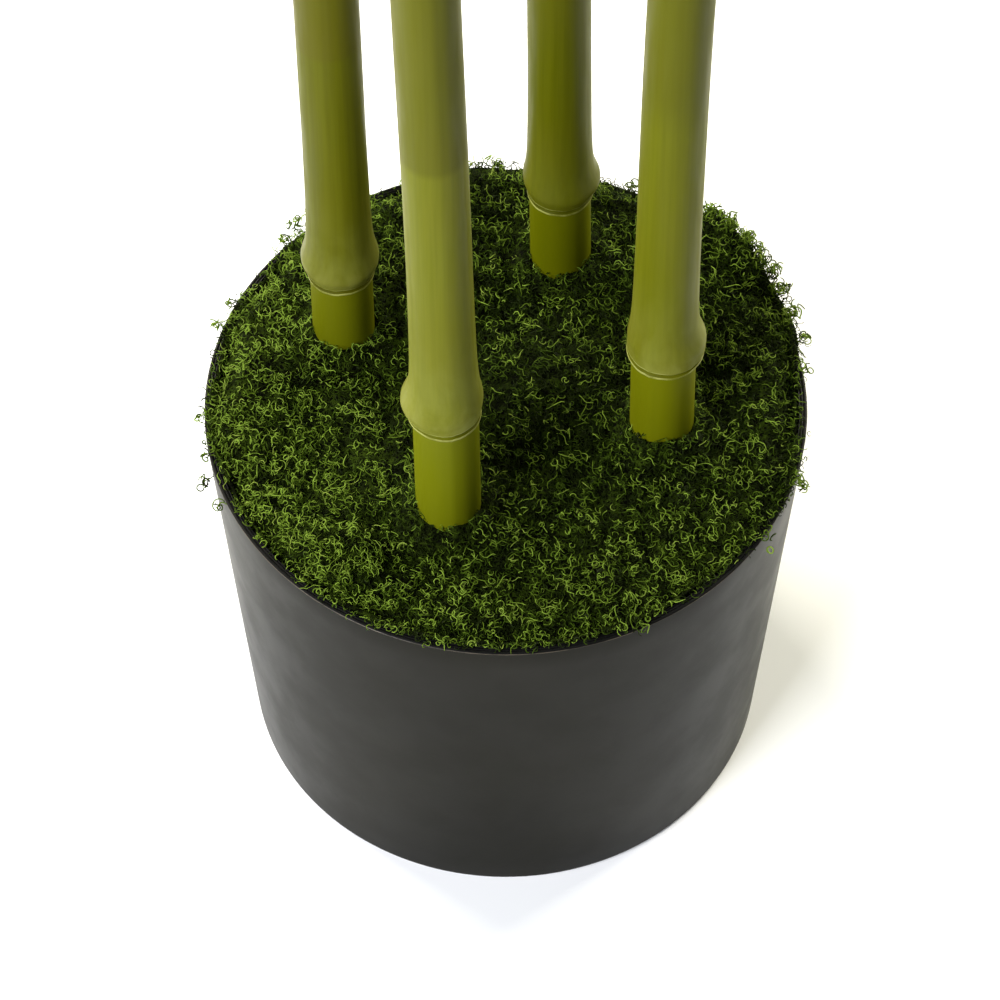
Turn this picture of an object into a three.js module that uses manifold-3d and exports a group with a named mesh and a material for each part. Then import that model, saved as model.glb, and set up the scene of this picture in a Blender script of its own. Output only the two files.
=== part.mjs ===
// Artificial bamboo in a round pot. Four thick plastic canes are set in a cement fill,
// a bed of curly green moss covers the fill, and side boughs from the upper joints of
// the canes carry masses of long narrow leaves.
// Millimetres, +Z up. The origin is the centre of the pot's flat underside.

import * as THREE from 'three';
import { mergeVertices } from 'three/addons/utils/BufferGeometryUtils.js';
import Module from 'manifold-3d';

const wasm = await Module();
wasm.setup();

// Pot
const POT_HEIGHT = 197;
const RIM_RADIUS = 125;
const FOOT_RADIUS = 111;
const POT_WALL = 3.8;
const POT_FLOOR = 4.5;
const RIM_BAND = 5;
const RIM_BAND_PROUD = 0.5;
const RIM_ROUND = 0.8;
const EDGE_ROUND = 2.4;
const POT_SIDES = 48;

// Clear gap between neighbouring pieces
const GAP = 0.3;

// Cement fill and moss bed, their tops measured from the rim
const FILL_TOP = -22;
const MOSS_LEVEL = 7;
const MOSS_TILT = 0.045;
const MOSS_LUMP = 2.4;
const MOSS_WAVES = [17, 14, 23];
const MOSS_EDGE = 108;
const MOSS_EDGE_FALL = 0.55;
const MOSS_EDGE_DEPTH = 10;
const MOSS_SIDES = 36;
const MOSS_RINGS = 7;

// Canes: place at the rim's level, sideways slant and bow, height of the lowest joint above
// the rim, how far apart the joints stand compared with JOINT_SPACING, and the compass
// direction, counted from +X, that the cane's boughs spread about
const CANES = [
  { place: [-67.4, 33.0], slant: -0.004, bow: [-2.0e-5, 1.0e-5], joint: 46.2, stretch: 0.97, facing: 155 },
  { place: [-23.3, -57.9], slant: -0.01, bow: [-2.2e-5, -1.5e-5], joint: 70.0, stretch: 0.98, facing: 245 },
  { place: [23.1, 70.6], slant: -0.0125, bow: [0, 2.0e-5], joint: 52.3, stretch: 1.03, facing: 65 },
  { place: [64.0, -16.6], slant: -0.008, bow: [3.5e-5, -0.8e-5], joint: 56.4, stretch: 1.0, facing: 335 },
];
const JOINT_SPACING = [280, 262, 245, 228, 210];
const CANE_FOOT = -150;
const CANE_RADIUS = 12.9;
const CANE_TAPER = 0.08;
const TIP_TAPER = 0.56;
const TIP_POWER = 5;
const CANE_SIDES = 10;
const JOINT_PROUD = 3.4;
// Outline of a joint: height above its ring, and how far it stands out of the cane
const JOINT_OUTLINE = [[-1.6, 0], [0, 1.9], [2.2, 0.7], [8, JOINT_PROUD], [24, 0.7]];

// Boughs: the joints that carry them, and their turn from straight outwards on each side
const BOUGH_JOINTS = [2, 3, 4];
const BOUGH_TURN = [[-22, 23], [0, 45], [-23, 22]];
const BOUGH_ABOVE_RING = 13;
const BOUGH_STAGGER = 5;
const BOUGH_LENGTH = [135, 125, 100];
const BOUGH_RISE = [48, 50, 54];
const BOUGH_LEVEL_OFF = 9;
const BOUGH_RADIUS = 3.2;
const BOUGH_TIP_RADIUS = 2.1;
const BOUGH_SIDES = 5;

// Masses of leaves: the stem that goes on from a bough or a cane, twigs and leaves
const STEM_LENGTH = [165, 165, 150];
const STEM_SAG = [0.42, 0.36, 0.24];
const TOP_STEM_LENGTH = 120;
const TOP_STEM_RISE = 86;
const TOP_STEM_SAG = -0.1;
const STEM_RADIUS = 2.5;
const STEM_TIP_RADIUS = 1.9;
const STEM_SIDES = 4;
const TWIGS = 5;
const FIRST_TWIG = 0.14;
const LAST_TWIG = 0.9;
const TWIG_TURN = 137.5;
const TWIG_LENGTH = 80;
const TWIG_SPREAD = 50;
const TWIG_RADIUS = 1.7;
const TWIG_TIP_RADIUS = 1.3;
const LEAF_LENGTH = 168;
const LEAF_WIDTH = 28;
const LEAF_THICKNESS = 2.2;
const LEAF_ROOT_WIDTH = 1.4;
const LEAF_ROOT_THICKNESS = 1.1;
const LEAF_WIDEST = 0.36;
const LEAF_SAG = 0.42;
const LEAF_SPREAD = 36;
const LEAF_LOOSE_YAW = 16;
const LEAF_LOOSE_PITCH = 22;
const LEAF_ROLL = 28;

// Room that leaves and twigs keep, and how often they are tried
const MIDDLE_OF_MASS = 0.6;
const LEAF_APART = 12;
const LEAF_CHECKS = 14;
const BOUGH_CHECKS = 24;
const LIMB_CLEARANCE = 3;
const SPACE_MARGIN = 2;
const TRIES = 8;
const SEED = 7301;
const SEED_STEP = 97;

// Outline of the whole crown: height above the rim, and radius from the pot's axis
const CROWN_OUTLINE = [
  [540, 60], [600, 200], [700, 330], [820, 405], [960, 440], [1150, 445],
  [1320, 390], [1470, 285], [1610, 130],
];

const UP = new THREE.Vector3(0, 0, 1);
const SIDEWAYS = new THREE.Vector3(1, 0, 0);

const plastic = (color, roughness) => new THREE.MeshStandardMaterial({ color, roughness, metalness: 0 });
const potMaterial = plastic(0x3c3b36, 0.42);
const fillMaterial = plastic(0x8b8a84, 0.9);
const mossMaterial = plastic(0x2f5417, 0.95);
const caneMaterial = plastic(0x8c8f35, 0.4);
const boughMaterial = plastic(0x6f7d2e, 0.5);
const leafMaterial = plastic(0x4f7a2b, 0.55);

// Solids

// The same surface with one vertex where several meet. It comes before any bending, which
// could part such vertices by a rounding error.
function sharedVertices(geometry) {
  geometry.deleteAttribute('normal');
  geometry.deleteAttribute('uv');
  return mergeVertices(geometry, 1e-4);
}

function toSolid(geometry) {
  const points = geometry.getAttribute('position');
  const index = geometry.getIndex().array;
  const corners = [];
  let volume = 0;
  const a = new THREE.Vector3();
  const b = new THREE.Vector3();
  const c = new THREE.Vector3();
  for (let i = 0; i < index.length; i += 3) {
    const [p, q, r] = [index[i], index[i + 1], index[i + 2]];
    if (p === q || q === r || r === p) continue;
    corners.push(p, q, r);
    a.fromBufferAttribute(points, p);
    b.fromBufferAttribute(points, q);
    c.fromBufferAttribute(points, r);
    volume += a.dot(b.cross(c));
  }
  if (volume < 0) corners.reverse();
  return new wasm.Manifold(new wasm.Mesh({
    numProp: 3,
    vertProperties: Float32Array.from(points.array),
    triVerts: Uint32Array.from(corners),
  }));
}

function largestBody(solid) {
  return solid.decompose().reduce((best, body) => (body.volume() > best.volume() ? body : best));
}

function toMesh(name, solid, material) {
  const data = solid.getMesh();
  const geometry = new THREE.BufferGeometry();
  geometry.setAttribute('position', new THREE.BufferAttribute(data.vertProperties, 3));
  geometry.setIndex(new THREE.BufferAttribute(data.triVerts, 1));
  const mesh = new THREE.Mesh(geometry, material);
  mesh.name = name;
  return mesh;
}

// A profile of radii and heights turned round the vertical axis
function turnedShape(profile, sides) {
  const points = profile.map(([radius, height]) => new THREE.Vector2(radius, height));
  return sharedVertices(new THREE.LatheGeometry(points, sides).rotateX(Math.PI / 2));
}

// A straight tapering rod bent to follow a curve, its section square to the curve all along
function limbSolid(curve, radius, tipRadius, sides, steps) {
  const geometry = sharedVertices(new THREE.CylinderGeometry(tipRadius, radius, 1, sides, steps));
  const points = geometry.getAttribute('position');
  const reference = steepReference(curve.getTangent(0));
  for (let i = 0; i < points.count; i += 1) {
    const t = points.getY(i) + 0.5;
    const tangent = curve.getTangent(t);
    const across = tangent.clone().cross(reference).normalize();
    const over = across.clone().cross(tangent);
    const place = curve.getPoint(t);
    place.addScaledVector(across, points.getX(i));
    place.addScaledVector(over, points.getZ(i));
    points.setXYZ(i, place.x, place.y, place.z);
  }
  return toSolid(geometry);
}

function steepReference(direction) {
  return Math.abs(direction.z) < 0.85 ? UP : SIDEWAYS;
}

// Random numbers that come out the same on every run

function makeRandom(seed) {
  let state = seed >>> 0;
  return () => {
    state = (Math.imul(state, 1664525) + 1013904223) >>> 0;
    return state / 4294967296;
  };
}

const spread = (random, amount) => (random() * 2 - 1) * amount;
const radians = THREE.MathUtils.degToRad;

// Pot, cement fill and moss

function wallRadius(height) {
  return FOOT_RADIUS + ((RIM_RADIUS - FOOT_RADIUS) * height) / POT_HEIGHT;
}

function buildPot() {
  const inner = (height) => wallRadius(height) - POT_WALL;
  const bandFoot = POT_HEIGHT - RIM_BAND;
  const edgeMiddle = EDGE_ROUND * (1 - Math.SQRT1_2);
  const profile = [
    [0, 0],
    [FOOT_RADIUS - EDGE_ROUND, 0],
    [FOOT_RADIUS - edgeMiddle, edgeMiddle],
    [wallRadius(EDGE_ROUND), EDGE_ROUND],
    [wallRadius(bandFoot) - RIM_BAND_PROUD, bandFoot],
    [wallRadius(bandFoot), bandFoot + RIM_BAND_PROUD],
    [RIM_RADIUS, POT_HEIGHT - RIM_ROUND],
    [RIM_RADIUS - RIM_ROUND, POT_HEIGHT],
    [inner(POT_HEIGHT) + RIM_ROUND, POT_HEIGHT],
    [inner(POT_HEIGHT), POT_HEIGHT - RIM_ROUND],
    [inner(POT_FLOOR), POT_FLOOR],
    [0, POT_FLOOR],
  ];
  return toMesh('pot', toSolid(turnedShape(profile, POT_SIDES)), potMaterial);
}

function fillRadius(height) {
  return (wallRadius(height) - POT_WALL - GAP) * Math.cos(Math.PI / POT_SIDES);
}

function buildFill(caneRoom) {
  const top = POT_HEIGHT + FILL_TOP;
  const bottom = POT_FLOOR + GAP;
  const profile = [[0, bottom], [fillRadius(bottom), bottom], [fillRadius(top), top], [0, top]];
  const fill = toSolid(turnedShape(profile, POT_SIDES / 2));
  return toMesh('cement_fill', largestBody(fill.subtract(caneRoom)), fillMaterial);
}

// Height of the moss above the rim
function mossHeight(x, y) {
  const [wide, deep, slanted] = MOSS_WAVES;
  const humps = Math.sin(x / wide + 0.6) * Math.cos(y / deep - 0.4);
  const lumps = humps + 0.6 * Math.sin((x - y) / slanted + 1.3);
  const fall = Math.max(0, Math.hypot(x, y) - MOSS_EDGE) * MOSS_EDGE_FALL;
  return MOSS_LEVEL + MOSS_TILT * y + MOSS_LUMP * lumps - fall;
}

function buildMoss(caneRoom) {
  const bottom = POT_HEIGHT + FILL_TOP + GAP;
  const edge = fillRadius(POT_HEIGHT - MOSS_EDGE_DEPTH);
  const profile = [[0, bottom], [fillRadius(bottom), bottom]];
  for (let ring = MOSS_RINGS; ring >= 0; ring -= 1) {
    profile.push([(edge * ring) / MOSS_RINGS, POT_HEIGHT]);
  }
  const geometry = turnedShape(profile, MOSS_SIDES);
  const places = geometry.getAttribute('position');
  for (let i = 0; i < places.count; i += 1) {
    if (places.getZ(i) < POT_HEIGHT - 1) continue;
    places.setZ(i, POT_HEIGHT + mossHeight(places.getX(i), places.getY(i)));
  }
  return toMesh('moss', largestBody(toSolid(geometry).subtract(caneRoom)), mossMaterial);
}

// Canes

function jointHeights(cane) {
  const heights = [cane.joint];
  for (const spacing of JOINT_SPACING) heights.push(heights.at(-1) + spacing * cane.stretch);
  return heights;
}

const caneTop = (cane) => jointHeights(cane).at(-1);

function caneRadius(cane, height) {
  const part = Math.max(0, height / caneTop(cane));
  return CANE_RADIUS * (1 - CANE_TAPER * part - TIP_TAPER * part ** TIP_POWER);
}

// Centre of a cane at a height above the rim
function canePoint(cane, height) {
  const rise = Math.max(0, height);
  const x = cane.place[0] + cane.slant * height + cane.bow[0] * rise * rise;
  const y = cane.place[1] + cane.bow[1] * rise * rise;
  return new THREE.Vector3(x, y, POT_HEIGHT + height);
}

function caneSolid(cane, extra) {
  const heights = jointHeights(cane);
  const top = heights.pop();
  const profile = [[0, CANE_FOOT - extra], [CANE_RADIUS + extra, CANE_FOOT - extra]];
  for (const ring of heights) {
    for (const [above, proud] of JOINT_OUTLINE) {
      const height = ring + above;
      const shape = caneRadius(cane, height) / CANE_RADIUS;
      profile.push([shape * (CANE_RADIUS + proud) + extra, height]);
    }
  }
  profile.push([caneRadius(cane, top) + extra, top + extra], [0, top + extra]);
  const geometry = turnedShape(profile, CANE_SIDES);
  const places = geometry.getAttribute('position');
  for (let i = 0; i < places.count; i += 1) {
    const height = places.getZ(i);
    const centre = canePoint(cane, height);
    places.setXYZ(i, places.getX(i) + centre.x, places.getY(i) + centre.y, centre.z);
  }
  return toSolid(geometry);
}

// Boughs

function heading(azimuth, elevation) {
  const flat = Math.cos(elevation);
  return new THREE.Vector3(
    Math.cos(azimuth) * flat,
    Math.sin(azimuth) * flat,
    Math.sin(elevation),
  );
}

function bentCurve(start, direction, endDirection, length) {
  const middle = start.clone().addScaledVector(direction, length / 2);
  const end = middle.clone().addScaledVector(endDirection, length / 2);
  return new THREE.QuadraticBezierCurve3(start, middle, end);
}

function planBoughs(cane) {
  const heights = jointHeights(cane);
  const boughs = [];
  BOUGH_JOINTS.forEach((joint, tier) => {
    BOUGH_TURN[tier].forEach((turn, side) => {
      const start = canePoint(cane, heights[joint] + BOUGH_ABOVE_RING + side * BOUGH_STAGGER);
      const azimuth = radians(cane.facing + turn);
      const rise = radians(BOUGH_RISE[tier]);
      const levelled = rise - radians(BOUGH_LEVEL_OFF);
      const length = BOUGH_LENGTH[tier] + caneRadius(cane, heights[joint]);
      const curve = bentCurve(start, heading(azimuth, rise), heading(azimuth, levelled), length);
      boughs.push({ tier, curve });
    });
  });
  return boughs;
}

// Masses of leaves. Each keeps to the space that lies nearer to its own middle than to
// any other mass's, inside the crown's outline and clear of the canes and boughs.

function planMass(name, start, direction, sag, length) {
  const first = start.clone().addScaledVector(direction, GAP);
  const curve = bentCurve(first, direction, lowered(direction, sag), length);
  return { name, curve, middle: curve.getPoint(MIDDLE_OF_MASS), taken: [] };
}

function lowered(direction, sag) {
  const way = direction.clone();
  way.z -= sag;
  return way.normalize();
}

function crownRadius(height) {
  for (let i = 1; i < CROWN_OUTLINE.length; i += 1) {
    const [low, lowRadius] = CROWN_OUTLINE[i - 1];
    const [high, highRadius] = CROWN_OUTLINE[i];
    if (height >= low && height <= high) {
      return THREE.MathUtils.mapLinear(height, low, high, lowRadius, highRadius);
    }
  }
  return 0;
}

function insideSpace(point, mass) {
  if (Math.hypot(point.x, point.y) > crownRadius(point.z - POT_HEIGHT)) return false;
  const own = point.distanceToSquared(mass.middle);
  return masses.every((other) => {
    if (other === mass) return true;
    const apart = mass.middle.distanceTo(other.middle);
    return point.distanceToSquared(other.middle) - own > 2 * SPACE_MARGIN * apart;
  });
}

function clearOfLimbs(point, reach) {
  const height = point.z - POT_HEIGHT;
  for (const cane of CANES) {
    if (height > caneTop(cane) + reach) continue;
    const centre = canePoint(cane, height);
    const thick = caneRadius(cane, Math.min(height, caneTop(cane))) + JOINT_PROUD;
    const apart = Math.hypot(point.x - centre.x, point.y - centre.y);
    if (apart < thick + reach + LIMB_CLEARANCE) return false;
  }
  const room = BOUGH_RADIUS + reach + LIMB_CLEARANCE;
  return boughPlaces.every((place) => place.distanceTo(point) > room);
}

// Middle line of a leaf, which hangs lower from its widest place on
function leafLine(root, direction, length) {
  const widest = root.clone().addScaledVector(direction, length * LEAF_WIDEST);
  const rest = length * (1 - LEAF_WIDEST);
  return { root, widest, tip: widest.clone().addScaledVector(lowered(direction, LEAF_SAG), rest) };
}

// A point of that line, from 0 at the root to 1 at the tip
function pointOnLeaf(line, t) {
  if (t < LEAF_WIDEST) return line.root.clone().lerp(line.widest, t / LEAF_WIDEST);
  return line.widest.clone().lerp(line.tip, (t - LEAF_WIDEST) / (1 - LEAF_WIDEST));
}

function leafFits(line, mass) {
  for (let step = 2; step <= LEAF_CHECKS; step += 1) {
    const t = step / LEAF_CHECKS;
    const point = pointOnLeaf(line, t);
    const narrowing = Math.min(t / LEAF_WIDEST, (1 - t) / (1 - LEAF_WIDEST));
    if (!clearOfLimbs(point, (LEAF_WIDTH / 2) * narrowing)) return false;
    if (mass.taken.some((place) => place.distanceTo(point) < LEAF_APART)) return false;
  }
  const across = line.tip.clone().sub(line.root).cross(UP).normalize();
  const edges = [];
  for (const side of [-1, 1]) {
    for (const drop of [-1, 1]) {
      const edge = line.widest.clone().addScaledVector(across, (side * LEAF_WIDTH) / 2);
      edge.z += (drop * LEAF_WIDTH) / 3;
      edges.push(edge);
    }
  }
  return [line.tip, ...edges].every((place) => insideSpace(place, mass));
}

// A three-sided blade through sections given as centre, width and thickness, root first.
// The last section is the point of the blade.
function bladeSolid(sections, roll) {
  const last = sections.length - 1;
  const geometry = sharedVertices(new THREE.ConeGeometry(1, 1, 3, last));
  const points = geometry.getAttribute('position');
  const along = sections[last].centre.clone().sub(sections[last - 2].centre).normalize();
  const across = along.clone().cross(steepReference(along)).normalize().applyAxisAngle(along, roll);
  const over = across.clone().cross(along);
  for (let i = 0; i < points.count; i += 1) {
    const { centre, width, thickness } = sections[Math.round((points.getY(i) + 0.5) * last)];
    const corner = new THREE.Vector2(points.getX(i), points.getZ(i)).normalize();
    const place = centre.clone();
    place.addScaledVector(across, (corner.x * width) / Math.sqrt(3));
    place.addScaledVector(over, (-corner.y * thickness) / 1.5);
    points.setXYZ(i, place.x, place.y, place.z);
  }
  return toSolid(geometry);
}

function leafSections({ root, widest, tip }) {
  return [
    { centre: root, width: LEAF_ROOT_WIDTH, thickness: LEAF_ROOT_THICKNESS },
    { centre: widest, width: LEAF_WIDTH, thickness: LEAF_THICKNESS },
    { centre: tip, width: 0, thickness: 0 },
  ];
}

// A direction turned sideways by one angle and then up by another
function turned(direction, yaw, pitch) {
  const across = direction.clone().cross(steepReference(direction)).normalize();
  const over = across.clone().cross(direction).normalize();
  return direction.clone().applyAxisAngle(over, yaw).applyAxisAngle(across, pitch).normalize();
}

// The first of a few trial leaves that fits, each a little shorter and further turned
function tryLeaf(random, root, direction, yaw, mass) {
  for (let trial = 0; trial < TRIES; trial += 1) {
    const loose = 1 + 0.25 * trial;
    const turn = yaw + spread(random, radians(LEAF_LOOSE_YAW) * loose);
    const way = turned(direction, turn, spread(random, radians(LEAF_LOOSE_PITCH) * loose));
    const length = LEAF_LENGTH * (1 + spread(random, 0.06)) * (1 - 0.06 * trial);
    const line = leafLine(root, way, length);
    if (!leafFits(line, mass)) continue;
    for (let t = 0.3; t < 1; t += 0.08) mass.taken.push(pointOnLeaf(line, t));
    return line;
  }
  return null;
}

// The end of the first of a few trial twigs that fits
function tryTwig(random, root, direction, round, mass) {
  for (let trial = 0; trial < TRIES; trial += 1) {
    const open = radians(TWIG_SPREAD) + spread(random, radians(12));
    const roll = round + spread(random, radians(30));
    const way = turned(direction, open, 0).applyAxisAngle(direction, roll);
    const length = TWIG_LENGTH * (1 + spread(random, 0.2)) * (1 - 0.07 * trial);
    const end = root.clone().addScaledVector(way, length);
    const fits = [0.35, 0.7, 1].every((t) => {
      const point = root.clone().lerp(end, t);
      return clearOfLimbs(point, TWIG_RADIUS) && insideSpace(point, mass);
    });
    if (fits) return { end, way };
  }
  return null;
}

// Twigs turn round the stem as they follow each other. Each ends in a leaf and has one
// more at its side, and the stem has its own.
function massSolid(mass, seed) {
  const random = makeRandom(seed);
  const { curve } = mass;
  const pieces = [limbSolid(curve, STEM_RADIUS, STEM_TIP_RADIUS, STEM_SIDES, 2)];
  const addLeaf = (root, direction, yaw) => {
    const line = tryLeaf(random, root, direction, yaw, mass);
    if (line) pieces.push(bladeSolid(leafSections(line), spread(random, radians(LEAF_ROLL))));
  };
  addLeaf(curve.getPoint(0.98), curve.getTangent(1), 0);
  for (let i = 0; i < TWIGS; i += 1) {
    const root = curve.getPoint(FIRST_TWIG + ((LAST_TWIG - FIRST_TWIG) * i) / (TWIGS - 1));
    const direction = curve.getTangent(FIRST_TWIG + ((LAST_TWIG - FIRST_TWIG) * i) / (TWIGS - 1));
    const side = i % 2 ? 1 : -1;
    const twig = tryTwig(random, root, direction, i * radians(TWIG_TURN), mass);
    if (!twig) {
      addLeaf(root, direction, side * radians(LEAF_SPREAD));
      continue;
    }
    const foot = { centre: root, width: TWIG_RADIUS * 2, thickness: TWIG_RADIUS * 1.7 };
    const endLeaf = tryLeaf(random, twig.end, twig.way, 0, mass);
    if (endLeaf) {
      const sections = leafSections(endLeaf);
      sections[0].width = TWIG_TIP_RADIUS * 2;
      sections[0].thickness = TWIG_TIP_RADIUS * 1.7;
      pieces.push(bladeSolid([foot, ...sections], spread(random, radians(LEAF_ROLL))));
    } else {
      const spike = new THREE.LineCurve3(root, twig.end);
      pieces.push(limbSolid(spike, TWIG_RADIUS, TWIG_TIP_RADIUS, 3, 1));
    }
    addLeaf(root.clone().lerp(twig.end, 0.6), twig.way, side * radians(LEAF_SPREAD));
  }
  addLeaf(curve.getPoint(0.5), curve.getTangent(0.5), -radians(LEAF_SPREAD));
  addLeaf(curve.getPoint(0.78), curve.getTangent(0.78), radians(LEAF_SPREAD));
  return largestBody(pieces.reduce((whole, piece) => whole.add(piece)).subtract(allRoom));
}

// Assembly

const plant = new THREE.Group();

const caneRoom = CANES.map((cane) => caneSolid(cane, GAP));
const allRoom = caneRoom.reduce((whole, room) => whole.add(room));
plant.add(buildPot(), buildFill(allRoom), buildMoss(allRoom));

const masses = [];
const boughPlaces = [];
CANES.forEach((cane, index) => {
  const number = index + 1;
  plant.add(toMesh(`cane_${number}`, caneSolid(cane, 0), caneMaterial));
  planBoughs(cane).forEach(({ tier, curve }, side) => {
    const whole = limbSolid(curve, BOUGH_RADIUS, BOUGH_TIP_RADIUS, BOUGH_SIDES, 2);
    const seated = largestBody(whole.subtract(caneRoom[index]));
    plant.add(toMesh(`bough_${number}_${side + 1}`, seated, boughMaterial));
    boughPlaces.push(...curve.getPoints(BOUGH_CHECKS).slice(0, -1));
    const name = `foliage_${number}_${side + 1}`;
    const way = curve.getTangent(1);
    masses.push(planMass(name, curve.getPoint(1), way, STEM_SAG[tier], STEM_LENGTH[tier]));
  });
  const top = canePoint(cane, caneTop(cane));
  const way = heading(radians(cane.facing), radians(TOP_STEM_RISE));
  masses.push(planMass(`foliage_${number}_top`, top, way, TOP_STEM_SAG, TOP_STEM_LENGTH));
});
masses.forEach((mass, order) => {
  plant.add(toMesh(mass.name, massSolid(mass, SEED + order * SEED_STEP), leafMaterial));
});

export default plant;
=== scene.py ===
"""Artificial bamboo in a round pot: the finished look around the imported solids.

Four thick plastic canes stand in a pot, their feet in curly green moss, and carry boughs,
twigs and long narrow leaves. Sizes are in millimetres until a mesh is made, +Z is up, and
the origin is the centre of the pot's flat underside.
"""

import math

import bpy
import numpy as np
from bpy.props import (
    FloatProperty,
    FloatVectorProperty,
    IntProperty,
    PointerProperty,
)
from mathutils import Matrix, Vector


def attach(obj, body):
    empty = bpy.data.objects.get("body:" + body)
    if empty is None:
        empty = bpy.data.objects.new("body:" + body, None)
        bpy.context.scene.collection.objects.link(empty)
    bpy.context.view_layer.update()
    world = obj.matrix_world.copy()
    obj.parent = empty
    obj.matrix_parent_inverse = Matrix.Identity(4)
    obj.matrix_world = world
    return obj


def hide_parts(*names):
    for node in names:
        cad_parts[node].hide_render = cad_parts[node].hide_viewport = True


bl_info = {
    "name": "Potted Bamboo",
    "version": (1, 0, 0),
    "blender": (4, 5, 0),
    "location": "3D View > Sidebar > Bamboo",
    "description": "An artificial bamboo in a pot, built piece by piece around its packed solids",
    "category": "Add Mesh",
}

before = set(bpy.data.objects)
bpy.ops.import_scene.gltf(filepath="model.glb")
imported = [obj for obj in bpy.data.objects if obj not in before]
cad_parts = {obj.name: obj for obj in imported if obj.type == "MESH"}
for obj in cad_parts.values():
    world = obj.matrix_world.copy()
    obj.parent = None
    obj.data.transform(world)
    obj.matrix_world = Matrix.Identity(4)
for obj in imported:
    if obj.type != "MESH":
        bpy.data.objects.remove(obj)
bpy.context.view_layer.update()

MM_PER_M = 1000.0
BODY = "root"


def linear(red, green, blue):
    """A colour given in display steps of 0 to 255, as the shader's own values."""
    def one(step):
        share = step / 255
        return share / 12.92 if share <= 0.04045 else ((share + 0.055) / 1.055) ** 2.4
    return (one(red), one(green), one(blue), 1.0)


def keyed(keys, rows):
    """Rows of a table as dictionaries."""
    return [dict(zip(keys, row)) for row in rows]


# Pot
POT_HEIGHT = 197
RIM_RADIUS = 125
FOOT_RADIUS = 111
POT_WALL = 3.8
POT_FLOOR = 4.5
POT_SIDES = 160
# Outline of the foot and of the rim: distance from the wall's line or the rim's radius, and
# height from the underside or the rim's top
FOOT_OUTLINE = [(-2.4, 0), (-1.6, 0.15), (-0.8, 0.55), (-0.3, 1.1), (-0.05, 1.8), (0, 2.6)]
EDGE_OUTLINE = [(0, -0.62), (-0.06, -0.45), (-0.2, -0.3)]
BAND_OUTLINE = [
    (-0.6, -0.1), (-1.15, 0), (-1.4, -0.1), (-1.55, -0.5), (-1.7, -0.5), (-1.85, -0.12),
    (-2.1, 0), (-2.4, -0.02), (-2.6, -0.12), (-2.75, -0.5), (-2.9, -0.5), (-3.05, -0.12),
    (-3.35, -0.02), (-3.65, -0.25), (-3.8, -0.8), (-3.8, -2.4),
]
WALL_STATIONS = 16
INNER_STATIONS = 8
INNER_BELOW_RIM = 6
FLOOR_HOLE = 0.5
WALL_SLOT, BAND_SLOT, EDGE_HIGHLIGHT_SLOT = 0, 1, 2
FOOT_EDGE_ROWS = slice(1, 4)
# Angles between faces, in degrees, from which an edge is sharp
POT_SHARP = 35
CANE_SHARP = 60
LEAF_SHARP = 16

# Moss bed, its top measured from the rim
MOSS_FARTHEST = 129.5
MOSS_LEVEL = 7
MOSS_TILT = 0.045
MOSS_LUMP = 2.4
MOSS_WAVES = (17, 14, 23)
MOSS_PHASES = (0.6, -0.4, 1.3)
SLANTED_SHARE = 0.6
MOSS_REACH = 119.5
BED_BELOW = 2.6
BED_BELOW_AT_BRIM = 1.6
BED_SHORT_OF_BRIM = 1.2
BED_SIDES = 200
BED_RINGS = 60
BED_INNERMOST = 0.004
BED_HOLE = 0.02
BED_IN_WALL = 8
BED_ROUGH = 0.9
BED_WAVES = (2.3, 3.1, 2.7, 4.3)
BED_WARPS = (2, 1.5)
BED_OVER_RIM = 0.9
ON_RIM_FROM = 0.5
# Heights of the bed's outermost ring and of the collar under it, on the rim and inside the pot
BED_EDGE = (0.8, -5)
BED_COLLAR = (0.6, -5.2)
FILL_TOP = -22
GAP = 0.3

# Curls and strands of the moss
MOSS_SEED = 4127
GOLDEN_TURN = math.pi * (3 - math.sqrt(5))
FIBRE_STRAY = 0.8
TUFT_SPACING = 8.6
TUFT_JITTER = 3.2
TUFT_GRID = (-132, 133)
TUFT_ROWS = 0.866
TUFT_DOME = 2.0
TUFT_FOOT = 1.6
TUFT_SINK = 1.2
TUFT_LIFT = 0.9
TUFT_LIGHT = 0.1
TOP_LAYER = (-2.2, 1.0)
DEEP_LAYER = (-3.4, -0.9)
TUFT_REACH = 4.6
FIBRE_SIDES = 3
STRAY_THICKER = 1.6
STRAY_STEPS = 11
STRAY_REACH = 0.8
STRAY_STEP = (0.7, 1.0)
STRAY_BEND = (0.35, 0.75)
STRAY_SPREAD = 0.6
STRAY_LIGHT = (0.5, 1)
STRAY_ON_RIM = 1.2
STRAY_LIFT = 1.6
SHAVING_WIDTH = (0.35, 0.6)
SHAVING_LIE = 0.35
CURL_STEPS = 5
CURL_STEP = (0.75, 1.25)
CURL_BEND = (0.5, 1.05)
CURL_LIE = 0.75
STRAND_STEPS = 6
STRAND_STEP = (0.9, 1.6)
STRAND_BEND = (0.5, 1.3)
STRAND_WAVE = (0.7, 1.7)
STRAND_LIE = 0.45
FIBRE_TORSION = 0.42
FIBRE_WIDTHS = (0.85, 1.2)
FIBRE_TAPER = 0.45
FIBRE_TAPER_POWER = 6
MIDDLE_ROOM = 6
EDGE_RAGGED = 1.4
EDGE_RELIEF = 0.5
# Heights over the rim of fibres on it, and of a heap where the edge of the moss is high
ON_RIM_LAYER = (0.8, 3.2)
ON_RIM_WIDTH = 2
HEAPED_FROM = 3
HEAP_STRAY = (1, 1.1)
HEAP_UP = (0.1, 1)
FOOT_MOUND_WIDTH = 6.5
# Waves round a foot mound: how many, and their share of its height
MOUND_WAVES = ((3, 0.12), (8, 0.1))
CANE_ROOM = 12.9
MOSS_PIECES = 4
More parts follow.
